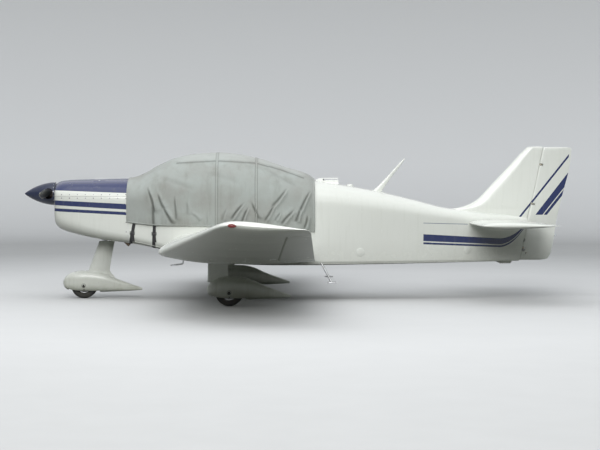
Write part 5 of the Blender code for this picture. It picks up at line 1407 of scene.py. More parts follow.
def buildFork(name, body, node, crown, axle, strut):
    along, across = (axle - crown).normalized(), Vector((0, 1, 0))
    size = (-0.0138, -0.0049, 0.003), (0.0138, 0.0049, (axle - crown).length + 0.016)
    parts = []

    def spindle(title, centre, half, radius, material, bead):
        parts.append(rod(title, centre - across * half, centre + across * half, radius, material, sides=32, bead=bead))

    spindle("crown", crown, 0.0772, 0.0119, "steel", 0.002)
    for side in (-1, 1):
        centre = crown + Vector((0, side * 0.0727, 0))
        parts.append(bar("arm", size, (across.cross(along), across, along), centre, "steel", 0.0025))
    spindle("axle", axle, 0.110, gear["axleRadius"], "alloy", 0.001)
    fit(joinAll(name, parts + strut), body, "bare_alloy", node)


def buildNoseGear():
    axle = at(gear["noseAxle"], 0, gear["axleHeight"])
    hole = rod("passage", noseAxis(0.27), noseAxis(0.42), 0.038, sides=40)
    buildSpat("noseSpatShell", "nose_spat", "nose_gear", gear["noseAxle"], 0.0, hole)
    buildWheel("noseWheel", "nose_wheel", gear["noseAxle"], 0.0)
    # the strut, and two scraper rings above the fairing
    strut = [rod("strut", noseAxis(0.300), noseAxis(1.00), 0.0298, "alloy", sides=48, bead=0.002)]
    for height in (0.742, 0.762):
        strut.append(rod("ring", noseAxis(height), noseAxis(height + 0.012), 0.0365, "steel", sides=48, bead=0.002))
    buildFork("noseFork", "nose_gear", "nose_leg", noseAxis(0.304), axle, strut)
    rows = smoothRows(gear["noseFairing"], spread(0.345, 0.728, 18))
    rings = [legRing(noseAxis(0.335), 0.273, 0.0525)] + [legRing(noseAxis(h), c, w) for h, c, w in rows]
    fairing = loft("noseLegFairing", rings, "spat")
    fit(roundEdges(fairing, 0.004), "nose_gear", "white_paint", "nose_leg_fairing")
    # the foot that carries the fairing's lines into the spat
    rows = smoothRows(gear["noseFoot"], spread(0.262, 0.346, 14))
    foot = loft("noseLegFoot", [legRing(noseAxis(h), c, w, 56) for h, c, w in rows], "spat")
    fit(foot, "nose_gear", "white_paint")


def buildMainGear(name, side):
    y, station = side * gear["mainSpan"], gear["strutStation"]
    hole = rod("passage", at(station, y, 0.25), at(station, y, 0.75), 0.038, sides=40)
    buildSpat("mainSpatShell_" + name, "main_spat_" + name, "airframe", gear["mainAxle"], y, hole)
    buildWheel("mainWheel_" + name, "main_wheel_" + name, gear["mainAxle"], y)
    top = skinPoint(gear["mainSpan"], station - wing["front"], side).z
    strut = rod("strut", at(station, y, 0.282), at(station, y, top + 0.004), 0.0318, "alloy", sides=48, bead=0.002)
    axle = at(gear["mainAxle"], y, gear["axleHeight"])
    buildFork("mainFork_" + name, "airframe", "main_leg_" + name, at(station + 0.010, y, 0.274), axle, [strut])
    rows = smoothRows(gear["mainFairing"], spread(0.285, top + 0.02, 16))
    fairing = loft("mainLegFairing_" + name, [legRing(at(station, y, h), c, w) for h, c, w in rows], "spat")
    fit(evenOut(fairing), "airframe", "white_paint", "main_leg_fairing_" + name)
    # a flange of sealant where the fairing meets the wing
    ring = []
    for point in legRing(at(station, y, 0), 0.247, 0.0525, 60):
        height = skinPoint(gear["mainSpan"], point.x - noseX - wing["front"], side).z
        ring.append(Vector((point.x, point.y, height)))
    rings = [[point + Vector((0, 0, rise)) for point in ring] for rise in (0.003, -0.006)]
    flange = roundEdges(loft("mainLegFlange_" + name, rings, "spat"), 0.003)
    fit(flange, "airframe", "white_paint")


# Parts on the rear deck and underneath
def buildDeckParts():
    vent = {"rows": ((3.700, 0.060, 1.512), (3.760, 0.100, 1.530), (3.985, 0.105, 1.534)), "foot": 1.400}
    rings = []
    for station, half, top in smoothRows(vent["rows"], [3.700, 3.703, 3.708, 3.716] + spread(3.73, 3.985, 18)):
        ring = []
        for turn in spread(0, pi, 33):
            rise = (top - vent["foot"]) * sin(turn) ** 0.5 if 0 < turn < pi - 1e-6 else 0.0
            ring.append(at(station, half * cos(turn), vent["foot"] + rise))
        rings.append(ring)
    scoop = loft("ventScoop", rings, "plain")
    mouth = roundEdges(block("mouth", at(3.80, -0.082, 1.455), at(4.10, 0.082, 1.519)), 0.012, 4)
    carve(scoop, mouth)
    scoop.data.materials.append(finishes["inside"])
    for face in scoop.data.polygons:
        inside = abs(face.center.y) < 0.0825 and face.center.z < 1.5195 and 3.79 < face.center.x - noseX < 3.984
        face.material_index = 1 if inside else 0
    fit(evenOut(scoop), "airframe", "white_airframe", "vent_fairing")
    louvres = []
    for k in range(4):
        low = at(3.965 - 0.012 * k, -0.078, 1.463 + 0.014 * k)
        louvres.append(block("louvre", low, low + Vector((0.014, 0.156, 0.0016)), "inside", 0.0006))
    fit(joinAll("ventLouvres", louvres), "airframe", "black_paint")
    rake = radians(40)
    rows = ((0.0, 0.120, 0.012), (0.18, 0.072, 0.009), (0.52, 0.030, 0.005), (0.56, 0.016, 0.003))
    rings = []
    for along, chord, half in smoothRows(rows, spread(0.0, 0.56, 40)):
        middle = at(4.475 + along * sin(rake), 0, 1.350 + along * cos(rake))
        tip = sqrt(max(0.0, 1 - max(0.0, (along - 0.54) / 0.0201) ** 2))
        rings.append([middle + Vector((0.5 * chord * tip * c, half * tip * s, 0)) for c, s in around(32)])
    fit(loft("antennaBlade", rings, "plain"), "airframe", "white_airframe", "radio_antenna")
    foot = hullTop(4.49, 0, "rearDeck")
    slope = (hullTop(4.54, 0, "rearDeck") - hullTop(4.44, 0, "rearDeck")) / 0.10
    rings = []
    for lift, grow in ((-0.004, 0.002), (0.002, 0.002), (0.0042, 0.0)):
        flat = [((0.082 + grow) * c, (0.026 + grow) * s) for c, s in around(48)]
        rings.append([at(4.492 + aft, y, foot + slope * aft + lift - 0.9 * y**2) for aft, y in flat])
    fit(loft("antennaFoot", rings, "plain"), "airframe", "white_airframe")
    profile = [(0.0, 0.0), (0.0, 0.045), (0.030, 0.0445)]
    profile += [(0.034 + 0.024 * sin(t), 0.0430 * cos(t) ** 0.8) for t in spread(0.05, pi / 2, 14)]
    profile[-1] = (0.058, 0.0)
    dome = turned("satnavDome", profile, at(4.135, 0, 1.395), (0, 0, 1), "plain", 64)
    fit(dome, "airframe", "white_airframe", "satnav_puck")
    parts = []
    for c, s in around(4, 0.5):
        station, y = 4.135 + 0.037 * c, 0.037 * s
        seat = at(station, y, hullTop(station, y, "rearDeck") + 0.004)
        parts.append(rod("screw", seat, seat + Vector((0, 0, 0.003)), 0.0035, "alloy", sides=16, bead=0.0008))
    fit(joinAll("domeScrews", parts), "airframe", "bare_alloy")
    print("deck parts built")


def buildUnderside():
    for name, side in hands:
        head, foot = at(3.755, side * 0.452, 0.478), at(3.885, side * 0.600, 0.235)
        parts = [rod("tube", head, foot, 0.011, "alloy", sides=32)]
        flange = ((-0.004, 0), (-0.004, 0.026), (0.002, 0.026), (0.004, 0.013), (0.004, 0))
        seat = at(3.757, side * 0.454, 0.474)
        parts.append(turned("flange", flange, seat, (0, side * 0.7, -0.7), "plain", 32, bead=0.0006))
        low, high = foot - Vector((0.055, 0.045, 0.006)), foot + Vector((0.055, 0.045, 0.006))
        parts.append(block("plate", low, high, "alloy", 0.003))
        for k in range(7):
            start = Vector((low.x + 0.0135 + 0.0138 * k, low.y + 0.006, high.z - 0.001))
            end = Vector((start.x + 0.0045, high.y - 0.006, high.z + 0.0022))
            parts.append(block("grip", start, end, "rubber", 0.001))
        fit(joinAll("boardingStep_" + name, parts), "airframe", "bare_alloy", "step_" + name)
    corners = ((1.000, 1.0695), (1.000, 0.930), (1.060, 0.840), (1.195, 0.785), (1.320, 0.670))
    corners = [at(station, 0.130, height) for station, height in corners]
    path = [corners[0]]
    for before, corner, after in zip(corners, corners[1:], corners[2:]):
        start, end = (corner + (other - corner).normalized() * 0.045 for other in (before, after))
        path += bend(start, corner, end, 9)
    path.append(corners[-1])
    pipe = swept("exhaustTube", path, 0.026, "pipe", 40)
    mouth = path[-1] + (path[-1] - path[-2]).normalized() * 0.05
    carve(pipe, swept("bore", [path[-1] - (mouth - path[-1]) * 3, path[-1], mouth], 0.0243, None, 40))
    fit(pipe, "airframe", "dark_steel", "exhaust_pipe")
    top, corner, tip = at(2.150, -2.20, 0.680), at(2.145, -2.20, 0.550), at(2.000, -2.20, 0.535)
    path = bend(corner + Vector((0, 0, 0.025)), corner, corner - Vector((0.030, 0, 0.003)), 10)
    tube = swept("pitotMast", [top] + path + [tip], 0.009, "alloy", 28)
    carve(tube, rod("bore", at(1.98, -2.20, 0.533), at(2.03, -2.20, 0.538), 0.0045, sides=20))
    fit(roundEdges(tube, 0.0018), "airframe", "bare_alloy", "pitot_tube")
    flange = ((-0.006, 0), (-0.006, 0.022), (0.0022, 0.022), (0.004, 0.014), (0.004, 0))
    seat = skinPoint(2.20, 0.230, -1)
    fit(turned("pitotFlange", flange, seat, (0.05, 0, -1), "alloy", 40, bead=0.0006), "airframe", "bare_alloy")
    outline = [(6.00, 0.52), (6.00, 0.466), (6.03, 0.450), (6.09, 0.4402), (6.17, 0.4402), (6.20, 0.452), (6.20, 0.52)]
    rings = [[at(s, y, z) for s, z in outline] for y in (-0.018, 0.018)]
    skid = roundEdges(loft("skid", rings, "plain", forCutting=True), 0.005, 3)
    shoe = block("shoe", at(6.045, -0.0150, 0.4402), at(6.185, 0.0150, 0.4440), "steel", 0.0012)
    fit(joinAll("tailBumper", [skid, shoe]), "airframe", "bare_alloy", "tail_skid")
    for title, finish in (("engine", "steel"), ("nose_leg_socket", "steel"), ("firewall", "alloy")):
        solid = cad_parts[title]
        for slot_ in solid.material_slots:
            slot_.material = finishes[finish]
    print("underside built")


# The fabric cover, drawn over the cabin hood and gathered in at its hem
cover.update({
    "ends": (1.348, 3.670),
    "rows": (  # station, hem, shoulder, top
        (1.348, 0.985, 1.235, 1.530), (1.440, 0.973, 1.237, 1.552), (1.550, 0.960, 1.241, 1.600),
        (1.720, 0.947, 1.246, 1.694), (1.920, 0.942, 1.250, 1.776), (2.160, 0.939, 1.250, 1.832),
        (2.445, 0.930, 1.250, 1.850), (2.740, 0.918, 1.250, 1.823), (3.020, 0.903, 1.243, 1.762),
        (3.300, 0.886, 1.231, 1.670), (3.610, 0.868, 1.205, 1.568), (3.670, 0.862, 1.195, 1.524),
    ),
    "ease": 0.0108,
    "columns": 268,
    "around": 176,
    "thickness": 0.0014,
    "creases": (  # from and to (station, height), width, depth; the port side's come from the photograph
        (1.585, 1.430, 1.690, 1.120, 0.018, 0.015), (1.652, 1.300, 1.682, 0.945, 0.021, 0.019),
        (1.715, 1.345, 1.800, 1.165, 0.018, 0.015), (1.780, 1.205, 1.907, 0.975, 0.020, 0.018),
        (1.946, 1.330, 1.954, 1.020, 0.018, 0.012), (2.089, 1.260, 2.086, 1.090, 0.022, 0.007),
        (2.140, 1.095, 2.240, 0.995, 0.016, 0.008), (2.330, 1.130, 2.345, 0.960, 0.015, 0.006),
        (2.579, 1.170, 2.539, 1.010, 0.018, 0.009), (2.812, 1.240, 2.655, 1.030, 0.018, 0.015),
        (2.865, 1.175, 2.770, 0.990, 0.017, 0.014), (2.888, 1.260, 2.966, 1.030, 0.018, 0.014),
        (3.350, 1.415, 3.160, 1.195, 0.020, 0.013), (3.175, 1.215, 3.068, 1.010, 0.018, 0.015),
        (3.250, 1.120, 3.192, 1.000, 0.016, 0.011), (3.435, 1.150, 3.275, 0.965, 0.020, 0.019),
        (3.635, 1.380, 3.500, 1.135, 0.018, 0.014), (3.515, 1.155, 3.440, 1.000, 0.020, 0.019),
        (3.602, 1.080, 3.545, 0.915, 0.018, 0.015), (2.250, 1.600, 2.700, 1.480, 0.040, 0.004),
        (1.750, 1.520, 2.150, 1.400, 0.036, 0.004), (3.050, 1.640, 3.420, 1.450, 0.034, 0.006),
    ),
    "seams": (2.460, 2.950),
    "crownSeam": ((1.950, 1.720), (2.450, 1.752), (2.950, 1.722), (3.250, 1.640), (3.540, 1.535)),
    "flat": (2.46, 2.57),
    "flatArea": 5.65,
})


def coverSection(station, count):
    # evenly spaced points of half a section, from the hem up to the crown
    _, hem, shoulder, top = rowAt(cover["rows"], station)
    width = rowAt(hull["side"], station)[1] + cover["ease"]
    outline = [(width, z) for z in spread(hem, shoulder, 14)]
    for turn in spread(0, pi / 2, 60)[1:]:
        turn = min(turn, pi / 2 - 1e-9)
        outline.append((width * cos(turn) ** 0.84, shoulder + (top - shoulder) * sin(turn) ** 0.84))
    outline[-1] = (0.0, top)
    points = np.array(outline)
    steps = np.concatenate(([0.0], np.cumsum(np.hypot(*np.diff(points, axis=0).T))))
    where = np.linspace(0, steps[-1], count)
    return np.interp(where, steps, points[:, 0]), np.interp(where, steps, points[:, 1])


def creaseShape(s, z, hand):
    # how far the cloth stands out, and how deep in a crease it is, which is painted as shade
    # the starboard side's creases are the port side's, shifted about
    lift, hollow = np.zeros_like(s), np.zeros_like(s)
    for number, (s0, z0, s1, z1, width, depth) in enumerate(cover["creases"]):
        shifted = random.Random(number)
        if hand > 0:
            move = shifted.uniform(-0.09, 0.09)
            s0, s1 = s0 + move, s1 + move + shifted.uniform(-0.03, 0.03)
            depth *= shifted.uniform(0.6, 1.1)
        length = hypot(s1 - s0, z1 - z0)
        ux, uz = (s1 - s0) / length, (z1 - z0) / length
        along = ((s - s0) * ux + (z - z0) * uz) / length
        off = (s - s0) * uz - (z - z0) * ux
        off = off + 0.008 * np.sin(along * 3.1 + number)
        fade = np.clip(along / 0.40, 0, 1) * np.clip((1.14 - along) / 0.20, 0, 1)
        fade = fade * fade * (3 - 2 * fade)
        swell = width * (0.75 + 0.45 * np.clip(along, 0, 1))
        valley = np.exp(-((off / (0.62 * swell)) ** 2))
        ridge = np.exp(-(((off + 1.5 * swell) / (0.9 * swell)) ** 2))
        bank = np.exp(-((off / (2.8 * swell)) ** 2))
        lift += depth * fade * (0.9 * ridge + 0.55 * bank - 1.15 * valley)
        # painted shade along each crease's valley
        hollow = np.maximum(hollow, fade * valley * min(1.0, (depth / 0.014) ** 2))
    return lift, hollow


def coverSurface(columns, rows):
    # the grid of the cloth's outer side: positions, in rows from the port hem to the starboard hem
    stations = np.linspace(*cover["ends"], columns)
    half = rows // 2 + 1
    base = np.zeros((columns, 2 * half - 1, 3))
    for i, station in enumerate(stations):
        y, z = coverSection(float(station), half)
        base[i, :half, 1], base[i, :half, 2] = -y, z
        base[i, half:, 1], base[i, half:, 2] = y[-2::-1], z[-2::-1]
        base[i, :, 0] = noseX + station
    lengthwise, across = np.gradient(base, axis=0), np.gradient(base, axis=1)
    normal = np.cross(lengthwise, across)
    normal /= np.linalg.norm(normal, axis=2, keepdims=True)
    normal *= np.where(normal[:, :, 2:3] + normal[:, :, 1:2] * np.sign(base[:, :, 1:2]) < 0, -1, 1)
    s, z = base[:, :, 0] - noseX, base[:, :, 2]
    port = base[:, :, 1] < 0
    lift, hollow = (np.where(port, *pair) for pair in zip(creaseShape(s, z, -1), creaseShape(s, z, 1)))
    hem = np.interp(s, [row[0] for row in cover["rows"]], [row[1] for row in cover["rows"]])
    rumple = np.zeros_like(s)
    for i in range(columns):
        for j in range(2 * half - 1):
            x, y, height = base[i, j]
            soft = noise.noise(Vector((x * 1.9, y * 1.9 + 7, height * 1.9)))
            fine = noise.noise(Vector((x * 9, y * 6, height * 5)))
            pleat = noise.noise(Vector((x * 30, 3.0 if y < 0 else 9.0, height * 4)))
            small = noise.noise(Vector((x * 24 + 5, y * 18, height * 12)))
            near = exp(-max(0.0, height - hem[i, j]) / 0.085)
            rumple[i, j] = 0.0045 * soft + 0.0030 * fine + 0.0012 * small + 0.0085 * near * pleat
    lift = lift + rumple + 0.0035
    # stays off the hull's sides and the two decks, and lies flat at its front
    over = np.clip((s - 1.40) / 0.10, 0, 1) * np.clip((cover["ends"][1] - s) / 0.06, 0, 1)
    lift = lift * (0.25 + 0.75 * over)
    solid = (z < 1.235) | (s < 1.44) | (s > 3.585)
    lift = np.where(solid, np.maximum(lift, -0.0022), np.maximum(lift, -0.012))
    # painted shade just beside the seams and under the crown seam, and a painted highlight on what lies above the
    # crown seam
    for station in cover["seams"]:
        hollow = np.maximum(hollow, 0.75 * np.exp(-(((np.abs(s - station) - 0.0115) / 0.006) ** 2)))
    knots = np.array(cover["crownSeam"])
    above = z - np.interp(s, knots[:, 0], knots[:, 1])
    inside = (s > knots[0, 0]) & (s < knots[-1, 0])
    hollow = np.maximum(hollow, inside * 0.75 * np.exp(-(((above + 0.012) / 0.008) ** 2)))
    crownHighlight = np.clip(above / 0.02, 0, 1) * np.clip((s - 1.85) / 0.2, 0, 1) * np.clip((3.6 - s) / 0.1, 0, 1)
    return base + normal * lift[:, :, None], normal, np.stack((hollow, crownHighlight), -1)


def gridMesh(name, grid, material):
    columns, rows = grid.shape[:2]
    index = np.arange(columns * rows).reshape(columns, rows)
    faces = np.stack((index[:-1, :-1], index[1:, :-1], index[1:, 1:], index[:-1, 1:]), -1).reshape(-1, 4)
    mesh = bpy.data.meshes.new(name)
    mesh.from_pydata(grid.reshape(-1, 3).tolist(), [], faces.tolist())
    mesh.materials.append(finishes[material])
    mesh.shade_smooth()
    made = bpy.data.objects.new(name, mesh)
    shop.objects.link(made)
    return made


def onCloth(grid, column, row):
    # a point of the cloth between its grid's points
    columns, rows = grid.shape[:2]
    column, row = min(max(column, 0), columns - 1.001), min(max(row, 0), rows - 1.001)
    i, j = int(column), int(row)
    u, v = column - i, row - j
    point = grid[i, j] * (1 - u) * (1 - v) + grid[i + 1, j] * u * (1 - v)
    return Vector(point + grid[i, j + 1] * (1 - u) * v + grid[i + 1, j + 1] * u * v)


def stitchedBand(name, grid, normal, path, width, material):
    # a strip of doubled cloth laid along a path of (column, row), with a row of stitches down each edge
    middle = [onCloth(grid, *point) for point in path]
    last = grid.shape[0] - 1, grid.shape[1] - 1
    ups = [Vector(normal[round(min(c, last[0])), round(min(r, last[1]))]) for c, r in path]
    rings, rails = [], ([], [])
    for k, point in enumerate(middle):
        along = (middle[min(k + 1, len(middle) - 1)] - middle[max(k - 1, 0)]).normalized()
        side = along.cross(ups[k]).normalized()
        up = side.cross(along)
        low, high = -0.0006 * up, 0.0011 * up
        edge = side * width / 2
        rings.append([point - edge + low, point - edge * 0.94 + high, point + edge * 0.94 + high, point + edge + low])
        for rail, way in zip(rails, (-1, 1)):
            rail.append((point + way * side * (width / 2 - 0.0035) + up * 0.0013, side, up))
    strip = loft(name, rings, material, 50)
    bm = bmesh.new()
    for rail in rails:
        travelled, due = 0.0, 0.0
        for (first, side, up), (second, _, _) in zip(rail, rail[1:]):
            length = (second - first).length
            while due < travelled + length:
                start = first.lerp(second, (due - travelled) / length)
                end = start + (second - first).normalized() * 0.0052
                corners = []
                for point, rise in ((start, 0.0), (start.lerp(end, 0.5), 0.0009), (end, 0.0)):
                    corners.append([bm.verts.new(point + side * 0.0007 * w + up * rise) for w in (-1, 1)])
                for a, b in zip(corners, corners[1:]):
                    bm.faces.new((a[0], a[1], b[1], b[0]))
                due += 0.0080
            travelled += length
    thread = makePiece(name + "Thread", bm, "thread", weld=False)
    return strip, settle(modify(thread, "SOLIDIFY", thickness=0.0008))


def buildCover():
    grid, normal, stain = coverSurface(cover["columns"], cover["around"])
    columns, rows = grid.shape[:2]
    cloth = gridMesh("coverCloth", grid, "cloth")
    # the painted shade and painted highlight ride on the cloth's points as a colour attribute
    marks = cloth.data.color_attributes.new("stain", "FLOAT_COLOR", "POINT")
    flat = np.zeros((columns * rows, 4))
    flat[:, :2], flat[:, 3] = stain.reshape(-1, 2), 1.0
    marks.data.foreach_set("color", flat.ravel())
    settle(modify(cloth, "SOLIDIFY", thickness=cover["thickness"], offset=-1.0), 60)
    # the hem's channel, with its draw cord inside, runs right round the edge
    rim = [(c, 0) for c in range(columns)] + [(columns - 1, r) for r in range(1, rows)]
    rim += [(c, rows - 1) for c in range(columns - 2, -1, -1)] + [(0, r) for r in range(rows - 2, 0, -1)]
    rings = []
    for k, (column, row) in enumerate(rim):
        point = Vector(grid[column, row])
        before, after = Vector(grid[rim[k - 1]]), Vector(grid[rim[(k + 1) % len(rim)]])
        up = Vector(normal[column, row])
        side = (after - before).normalized().cross(up).normalized()
        pinch = 1 + 0.22 * noise.noise(point * 55.0)
        end = column in (0, columns - 1)
        high, wide = (0.0034 if end else 0.0052) * pinch, (0.0105 if end else 0.0088) * pinch
        rings.append([point + up * (high * s + high * 0.35) + side * wide * c for c, s in around(12)])
    pieces = [loft("coverHem", rings, "cloth", 60, closed=True)]
    front, back = cover["ends"]
    columnOf = (columns - 1) / (back - front)
    for number, station in enumerate(cover["seams"]):
        path = [((station - front) * columnOf, r) for r in spread(1, rows - 2, rows)]
        pieces += stitchedBand(f"coverSeam{number}", grid, normal, path, 0.019, "cloth")
    stations, heights = zip(*cover["crownSeam"])
    for name, side in hands:
        path = []
        for station in spread(stations[0], stations[-1], 130):
            _, z = coverSection(station, rows // 2 + 1)
            row = float(np.interp(np.interp(station, stations, heights), z, np.arange(len(z))))
            path.append(((station - front) * columnOf, row if side < 0 else rows - 1 - row))
        pieces += stitchedBand("coverCrownSeam_" + name, grid, normal, path, 0.016, "cloth")
    for piece in [cloth] + pieces:
        fit(piece, "airframe", "cover_fabric")
    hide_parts("canopy_cover", "cockpit_hood")
    area = sum(face.area for face in cloth.data.polygons) / 2
    print("cloth area", round(area, 3))
    print("cover built")


straps = {
    "front": {"node": "cover_strap_front", "top": 1.445, "bottom": 1.385, "deck": "frontDeck"},
    "rear": {"node": "cover_strap_rear", "top": 1.690, "bottom": 1.675, "deck": "sill"},
    "width": 0.040, "thickness": 0.0020, "slack": 0.0011, "tuck": 0.050,
}


def strapPath(spec, edge, grow):
    hemAt = rowAt(cover["rows"], spec["top"])[1]
    top = hemAt + straps["tuck"]
    profile = hullRing(spec["bottom"], spec["deck"], grow)
    low = profile[0].z
    half = []
    for k in range(2 + hull["cornerSteps"]):
        share = max(0.0, (profile[k].z - low) / (top - low))
        station = spec["bottom"] + (spec["top"] - spec["bottom"]) * share
        half.append(hullRing(station + edge, spec["deck"], grow)[k])
    for height in spread(half[-1].z, top, 16)[1:]:
        share = (height - low) / (top - low)
        station = spec["bottom"] + (spec["top"] - spec["bottom"]) * share + edge
        half.append(at(station, rowAt(hull["side"], station)[1] + grow, height))
    return half[::-1] + [Vector((p.x, -p.y, p.z)) for p in half[1:]]


def buildStraps():
    for title in ("front", "rear"):
        spec = straps[title]
        width, slack = straps["width"], straps["slack"]
        lanes = []
        for edge, grow in ((-0.5, 0.3), (-0.47, 1.0), (0.47, 1.0), (0.5, 0.3), (0.47, 0.0), (-0.47, 0.0)):
            lanes.append(strapPath(spec, edge * width, slack + straps["thickness"] * grow))
        band = loft("coverStrap_" + title, [list(ring) for ring in zip(*lanes)], "webbing", 60)
        fit(band, "airframe", "strap_web", spec["node"])
        # cam buckle on the port side, and the loose tail folded back under it
        middle = [point for point in strapPath(spec, 0.0, slack + straps["thickness"]) if point.y < 0]
        seat = min(middle, key=lambda point: abs(point.z - 0.845))
        bars = [((-0.027, rise), (0.054, 0, 0)) for rise in (-0.019, 0.0, 0.019)]
        bars += [((way * 0.027, -0.019), (0, 0, 0.038)) for way in (-1, 1)]
        parts = []
        for (aft, rise), run in bars:
            start = seat + Vector((aft, -0.0045, rise))
            parts.append(rod("bar", start, start + Vector(run), 0.0028, "black", sides=16, bead=0.0008))
        low, high = seat + Vector((-0.021, -0.0100, -0.016)), seat + Vector((0.021, -0.0068, 0.004))
        parts.append(block("tongue", low, high, "black", 0.001))
        buckle = fit(joinAll("strapBuckle_" + title, parts), "airframe", "bare_alloy")
        loop = ((0, -0.0035, 0.020), (0, -0.0058, -0.010), (0.004, -0.0062, -0.060), (0.010, -0.0040, -0.105))
        lane = ((-1, 0), (-0.96, -0.0018), (0.96, -0.0018), (1, 0))
        rings = []
        for k in range(17):
            t = k / 16 * 3
            i = min(2, int(t))
            point = seat + Vector(loop[i]).lerp(Vector(loop[i + 1]), t - i)
            rings.append([point + Vector((w * width / 2, d, 0)) for w, d in lane])
        hanging = fit(loft("strapTail_" + title, rings, "webbing", 60), "airframe", "strap_web")


buildHull()
buildCowl()
buildPropeller()
buildNoseGear()
for name, side in hands:
    buildWing(name, side)
    buildMainGear(name, side)
buildLandingLight()
buildFin()


# Tailplane: one moving surface on a tube, with an anti-balance tab behind each half
stab = {
    "front": 5.640, "chord": 0.920, "halfSpan": 1.600, "height": 0.960, "thickness": 0.090, "pivot": 0.270,
    "tube": 0.030, "tabHinge": 0.825, "tabSpan": (0.20, 1.30),
    "tip": ((0.0, 0.92, 0.20), (0.012, 0.95, 0.50), (0.05, 0.985, 0.85), (0.12, 1.0, 1.0)),
    "ribs": (0.33, 0.52, 0.71, 0.90, 1.09, 1.28, 1.46),
}


def stabHalf(x):
    return halfThickness(x, stab["thickness"]) * stab["chord"] + wing["trailing"] / 2 * x


def stabOutline(sag=0.0, steps=32):
    upper = []
    for k in range(steps + 1):
        x = 0.5 * (1 + cos(pi * k / steps))
        hollow = sag * sin(pi * min(1.0, max(0.0, (x - 0.12) / 0.62))) ** 0.7
        upper.append((x * stab["chord"], stabHalf(x) - hollow))
    return upper + [(aft, -up) for aft, up in upper[-2::-1]]


def buildStabilator():
    pivot = at(stab["front"] + stab["pivot"] * stab["chord"], 0, stab["height"])
    reach = Vector((0, 0.35, 0))
    tube = rod("stabTube", pivot - reach, pivot + reach, stab["tube"] - 0.0001, "alloy", sides=56)
    fit(tube, "stabilator", "white_wing")
    hingeAft, radius = stab["tabHinge"] * stab["chord"], stabHalf(stab["tabHinge"])
    end = wing["trailing"] / 2
    for name, side in hands:

        def ringAt(outline, y):
            return [at(stab["front"] + aft, side * y, stab["height"] + up) for aft, up in outline]

        root = []
        for aft, up in stabOutline():
            share = min(1.0, aft / hingeAft)
            root.append(at(stab["front"] + aft, side * (0.200 - 0.105 * share), stab["height"] + up))
        rings = [root]
        span = 0.215
        while span < 1.47:
            near = min(abs(span - rib) for rib in stab["ribs"])
            rings.append(ringAt(stabOutline(0.0018 * min(1.0, near / 0.04)), span))
            span += 0.024
        for inboard, chord, thick in reversed(smoothRows(stab["tip"], [0.12 * k**1.7 for k in spread(0, 1, 14)])):
            shift = stab["chord"] * (1 - chord) * 0.7
            outline = [(aft * chord + shift, up * thick) for aft, up in stabOutline()]
            rings.append(ringAt(outline, stab["halfSpan"] - inboard))
        surface = loft("stabSkin_" + name, rings, "wing")
        bay = bayRing((hingeAft, 0.0), radius + 0.007, (118, 242), 0.4)
        carve(surface, loft("bay", [ringAt(bay, y) for y in (0.02, stab["tabSpan"][1] + 0.010)], forCutting=True))
        fit(evenOut(surface), "stabilator", "white_wing", *(["stabilator"] if side < 0 else []))
        profile = arc((hingeAft, 0.0), radius, 90, 270, 15)
        profile += [(stab["chord"] - 0.001, -end), (stab["chord"], -end * 0.5)]
        profile += [(stab["chord"], end * 0.5), (stab["chord"] - 0.001, end)]
        tab = loft("antiTabSkin_" + name, [ringAt(profile, y) for y in spread(*stab["tabSpan"], 12)], "wing")
        start, far = [at(stab["front"] + hingeAft, side * y, stab["height"]) for y in stab["tabSpan"]]
        notches = []
        for number, share in enumerate((0.12, 0.88)):
            title, centre = f"tabLug{number}_{name}", start.lerp(far, share)
            notches.append(makeLug(title, "stabilator", centre, (0, 1, 0), 0.05, radius * 1.08))
        carve(tab, *notches)
        fit(evenOut(tab), "anti_tab_" + name, "white_wing", "anti_tab_" + name)
    print("tailplane built")


buildStabilator()
buildDeckParts()
buildUnderside()
buildCover()
buildStraps()

# Floor, light and camera
studio = {
    "floor": (0.62, 0.625, 0.62, 1.0), "apron": (0.44, 0.445, 0.44, 1.0), "wall": (0.86, 0.865, 0.86, 1.0),
    "floorBounce": (0.06, 0.065, 0.05, 1.0),
    "lampPower": 270.0, "fillPower": 2700.0, "sky": 0.98,
    "camera": (-0.217, -20.6, 1.53), "aim": (0.02, 0.0, 0.93), "lens": 97.0,
}


def plainlySeen(tree):
    # one for what the camera sees, straight on, in a mirror or through glass
    rays = addNode(tree, "LightPath").outputs
    other = calc(tree, "MAXIMUM", rays["Is Glossy Ray"], rays["Is Transmission Ray"])
    return calc(tree, "MAXIMUM", rays["Is Camera Ray"], other)


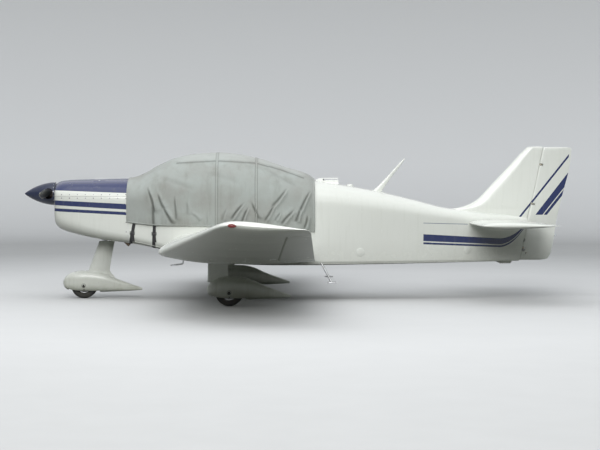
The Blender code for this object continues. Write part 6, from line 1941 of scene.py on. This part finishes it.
def buildFloor():
    # a round floor that curves up into a low wall, so that each view has the same plain ground
    outline = [(0.02, 0.0), (6.0, 0.0), (14.0, 0.0), (24.0, 0.0)]
    outline += [(24 + 10 * sin(t), 10 - 10 * cos(t)) for t in spread(0, pi / 2, 18)[1:]] + [(34, 15)]
    bm = bmesh.new()
    rows = [[bm.verts.new((radius * c, radius * s, z)) for c, s in around(96)] for radius, z in outline]
    bm.faces.new(rows[0])
    for first, second in zip(rows, rows[1:]):
        for k in range(96):
            j = (k + 1) % 96
            bm.faces.new((first[k], second[k], second[j], first[j]))
    material, tree, shader, where = newFinish("studioFloor", Roughness=0.9, Specular_IOR_Level=0.2)
    finishes["floor"] = material
    tone = ramp(tree, grain(tree, where, 2.0, 6.0), 0.3, 0.7)
    # greyer where the front lamp is close, lighter up the wall
    reach = addNode(tree, "VectorMath", {0: where}, operation="LENGTH").outputs["Value"]
    seen = blendColor(tree, ramp(tree, reach, 6.0, 13.0), studio["floor"], studio["apron"])
    seen = blendColor(tree, ramp(tree, reach, 18.0, 30.0), seen, studio["wall"])
    seen = blendColor(tree, times(tree, tone, 0.05), seen, studio["wall"])
    seen = blendColor(tree, plainlySeen(tree), studio["floorBounce"], seen)
    dress(tree, shader, seen, None, grain(tree, where, 60.0, 4.0), 0.0006)
    # clear from outside, for a view from beyond the wall
    outside = addNode(tree, "NewGeometry").outputs["Backfacing"]
    tree.links.new(calc(tree, "SUBTRACT", 1.0, outside), shader.inputs["Alpha"])
    makePiece("studioFloor", bm, "floor", weld=False)


def aimed(data, place, target):
    # a lamp or camera, set in its place and pointed at a target
    made = bpy.data.objects.new(data.name, data)
    made.location = place
    made.rotation_euler = (Vector(target) - Vector(place)).to_track_quat("-Z", "Y").to_euler()
    shop.objects.link(made)
    return made


def addLamp(name, place, target, size, power):
    lamp = bpy.data.lights.new(name, "AREA")
    lamp.shape = "RECTANGLE"
    lamp.size, lamp.size_y, lamp.energy = *size, power
    aimed(lamp, place, target).visible_camera = False


buildFloor()
addLamp("overhead", (-2.0, -4.0, 9.0), (0, 0, 0.5), (11, 8), studio["lampPower"])
addLamp("frontFill", (-2.0, -22.0, 10.0), (0, 0, 1.0), (12, 8), studio["fillPower"])

world = bpy.data.worlds.new("studio")
bpy.context.scene.world = world
world.use_nodes = True
tree = world.node_tree
tree.nodes.clear()
# the light comes from well above the horizon, as under an open sky among trees
height = axesOf(tree, addNode(tree, "TexCoord").outputs["Generated"])[2]
strength = ramp(tree, height, 0.02, 0.36, 0.25 * studio["sky"], studio["sky"])
sky = addNode(tree, "Background", {"Color": (0.93, 0.96, 1.0, 1), "Strength": strength})
plainBack = addNode(tree, "Background", {"Color": (1, 1, 1, 1), "Strength": 1.0})
mixed = addNode(tree, "MixShader", {0: plainlySeen(tree), 1: sky.outputs[0], 2: plainBack.outputs[0]})
tree.links.new(mixed.outputs[0], addNode(tree, "OutputWorld").inputs[0])

lensData = bpy.data.cameras.new("view")
lensData.lens = studio["lens"]
bpy.context.scene.camera = aimed(lensData, studio["camera"], studio["aim"])
bpy.context.scene.view_settings.view_transform = "Standard"
print("stage, light and camera set")
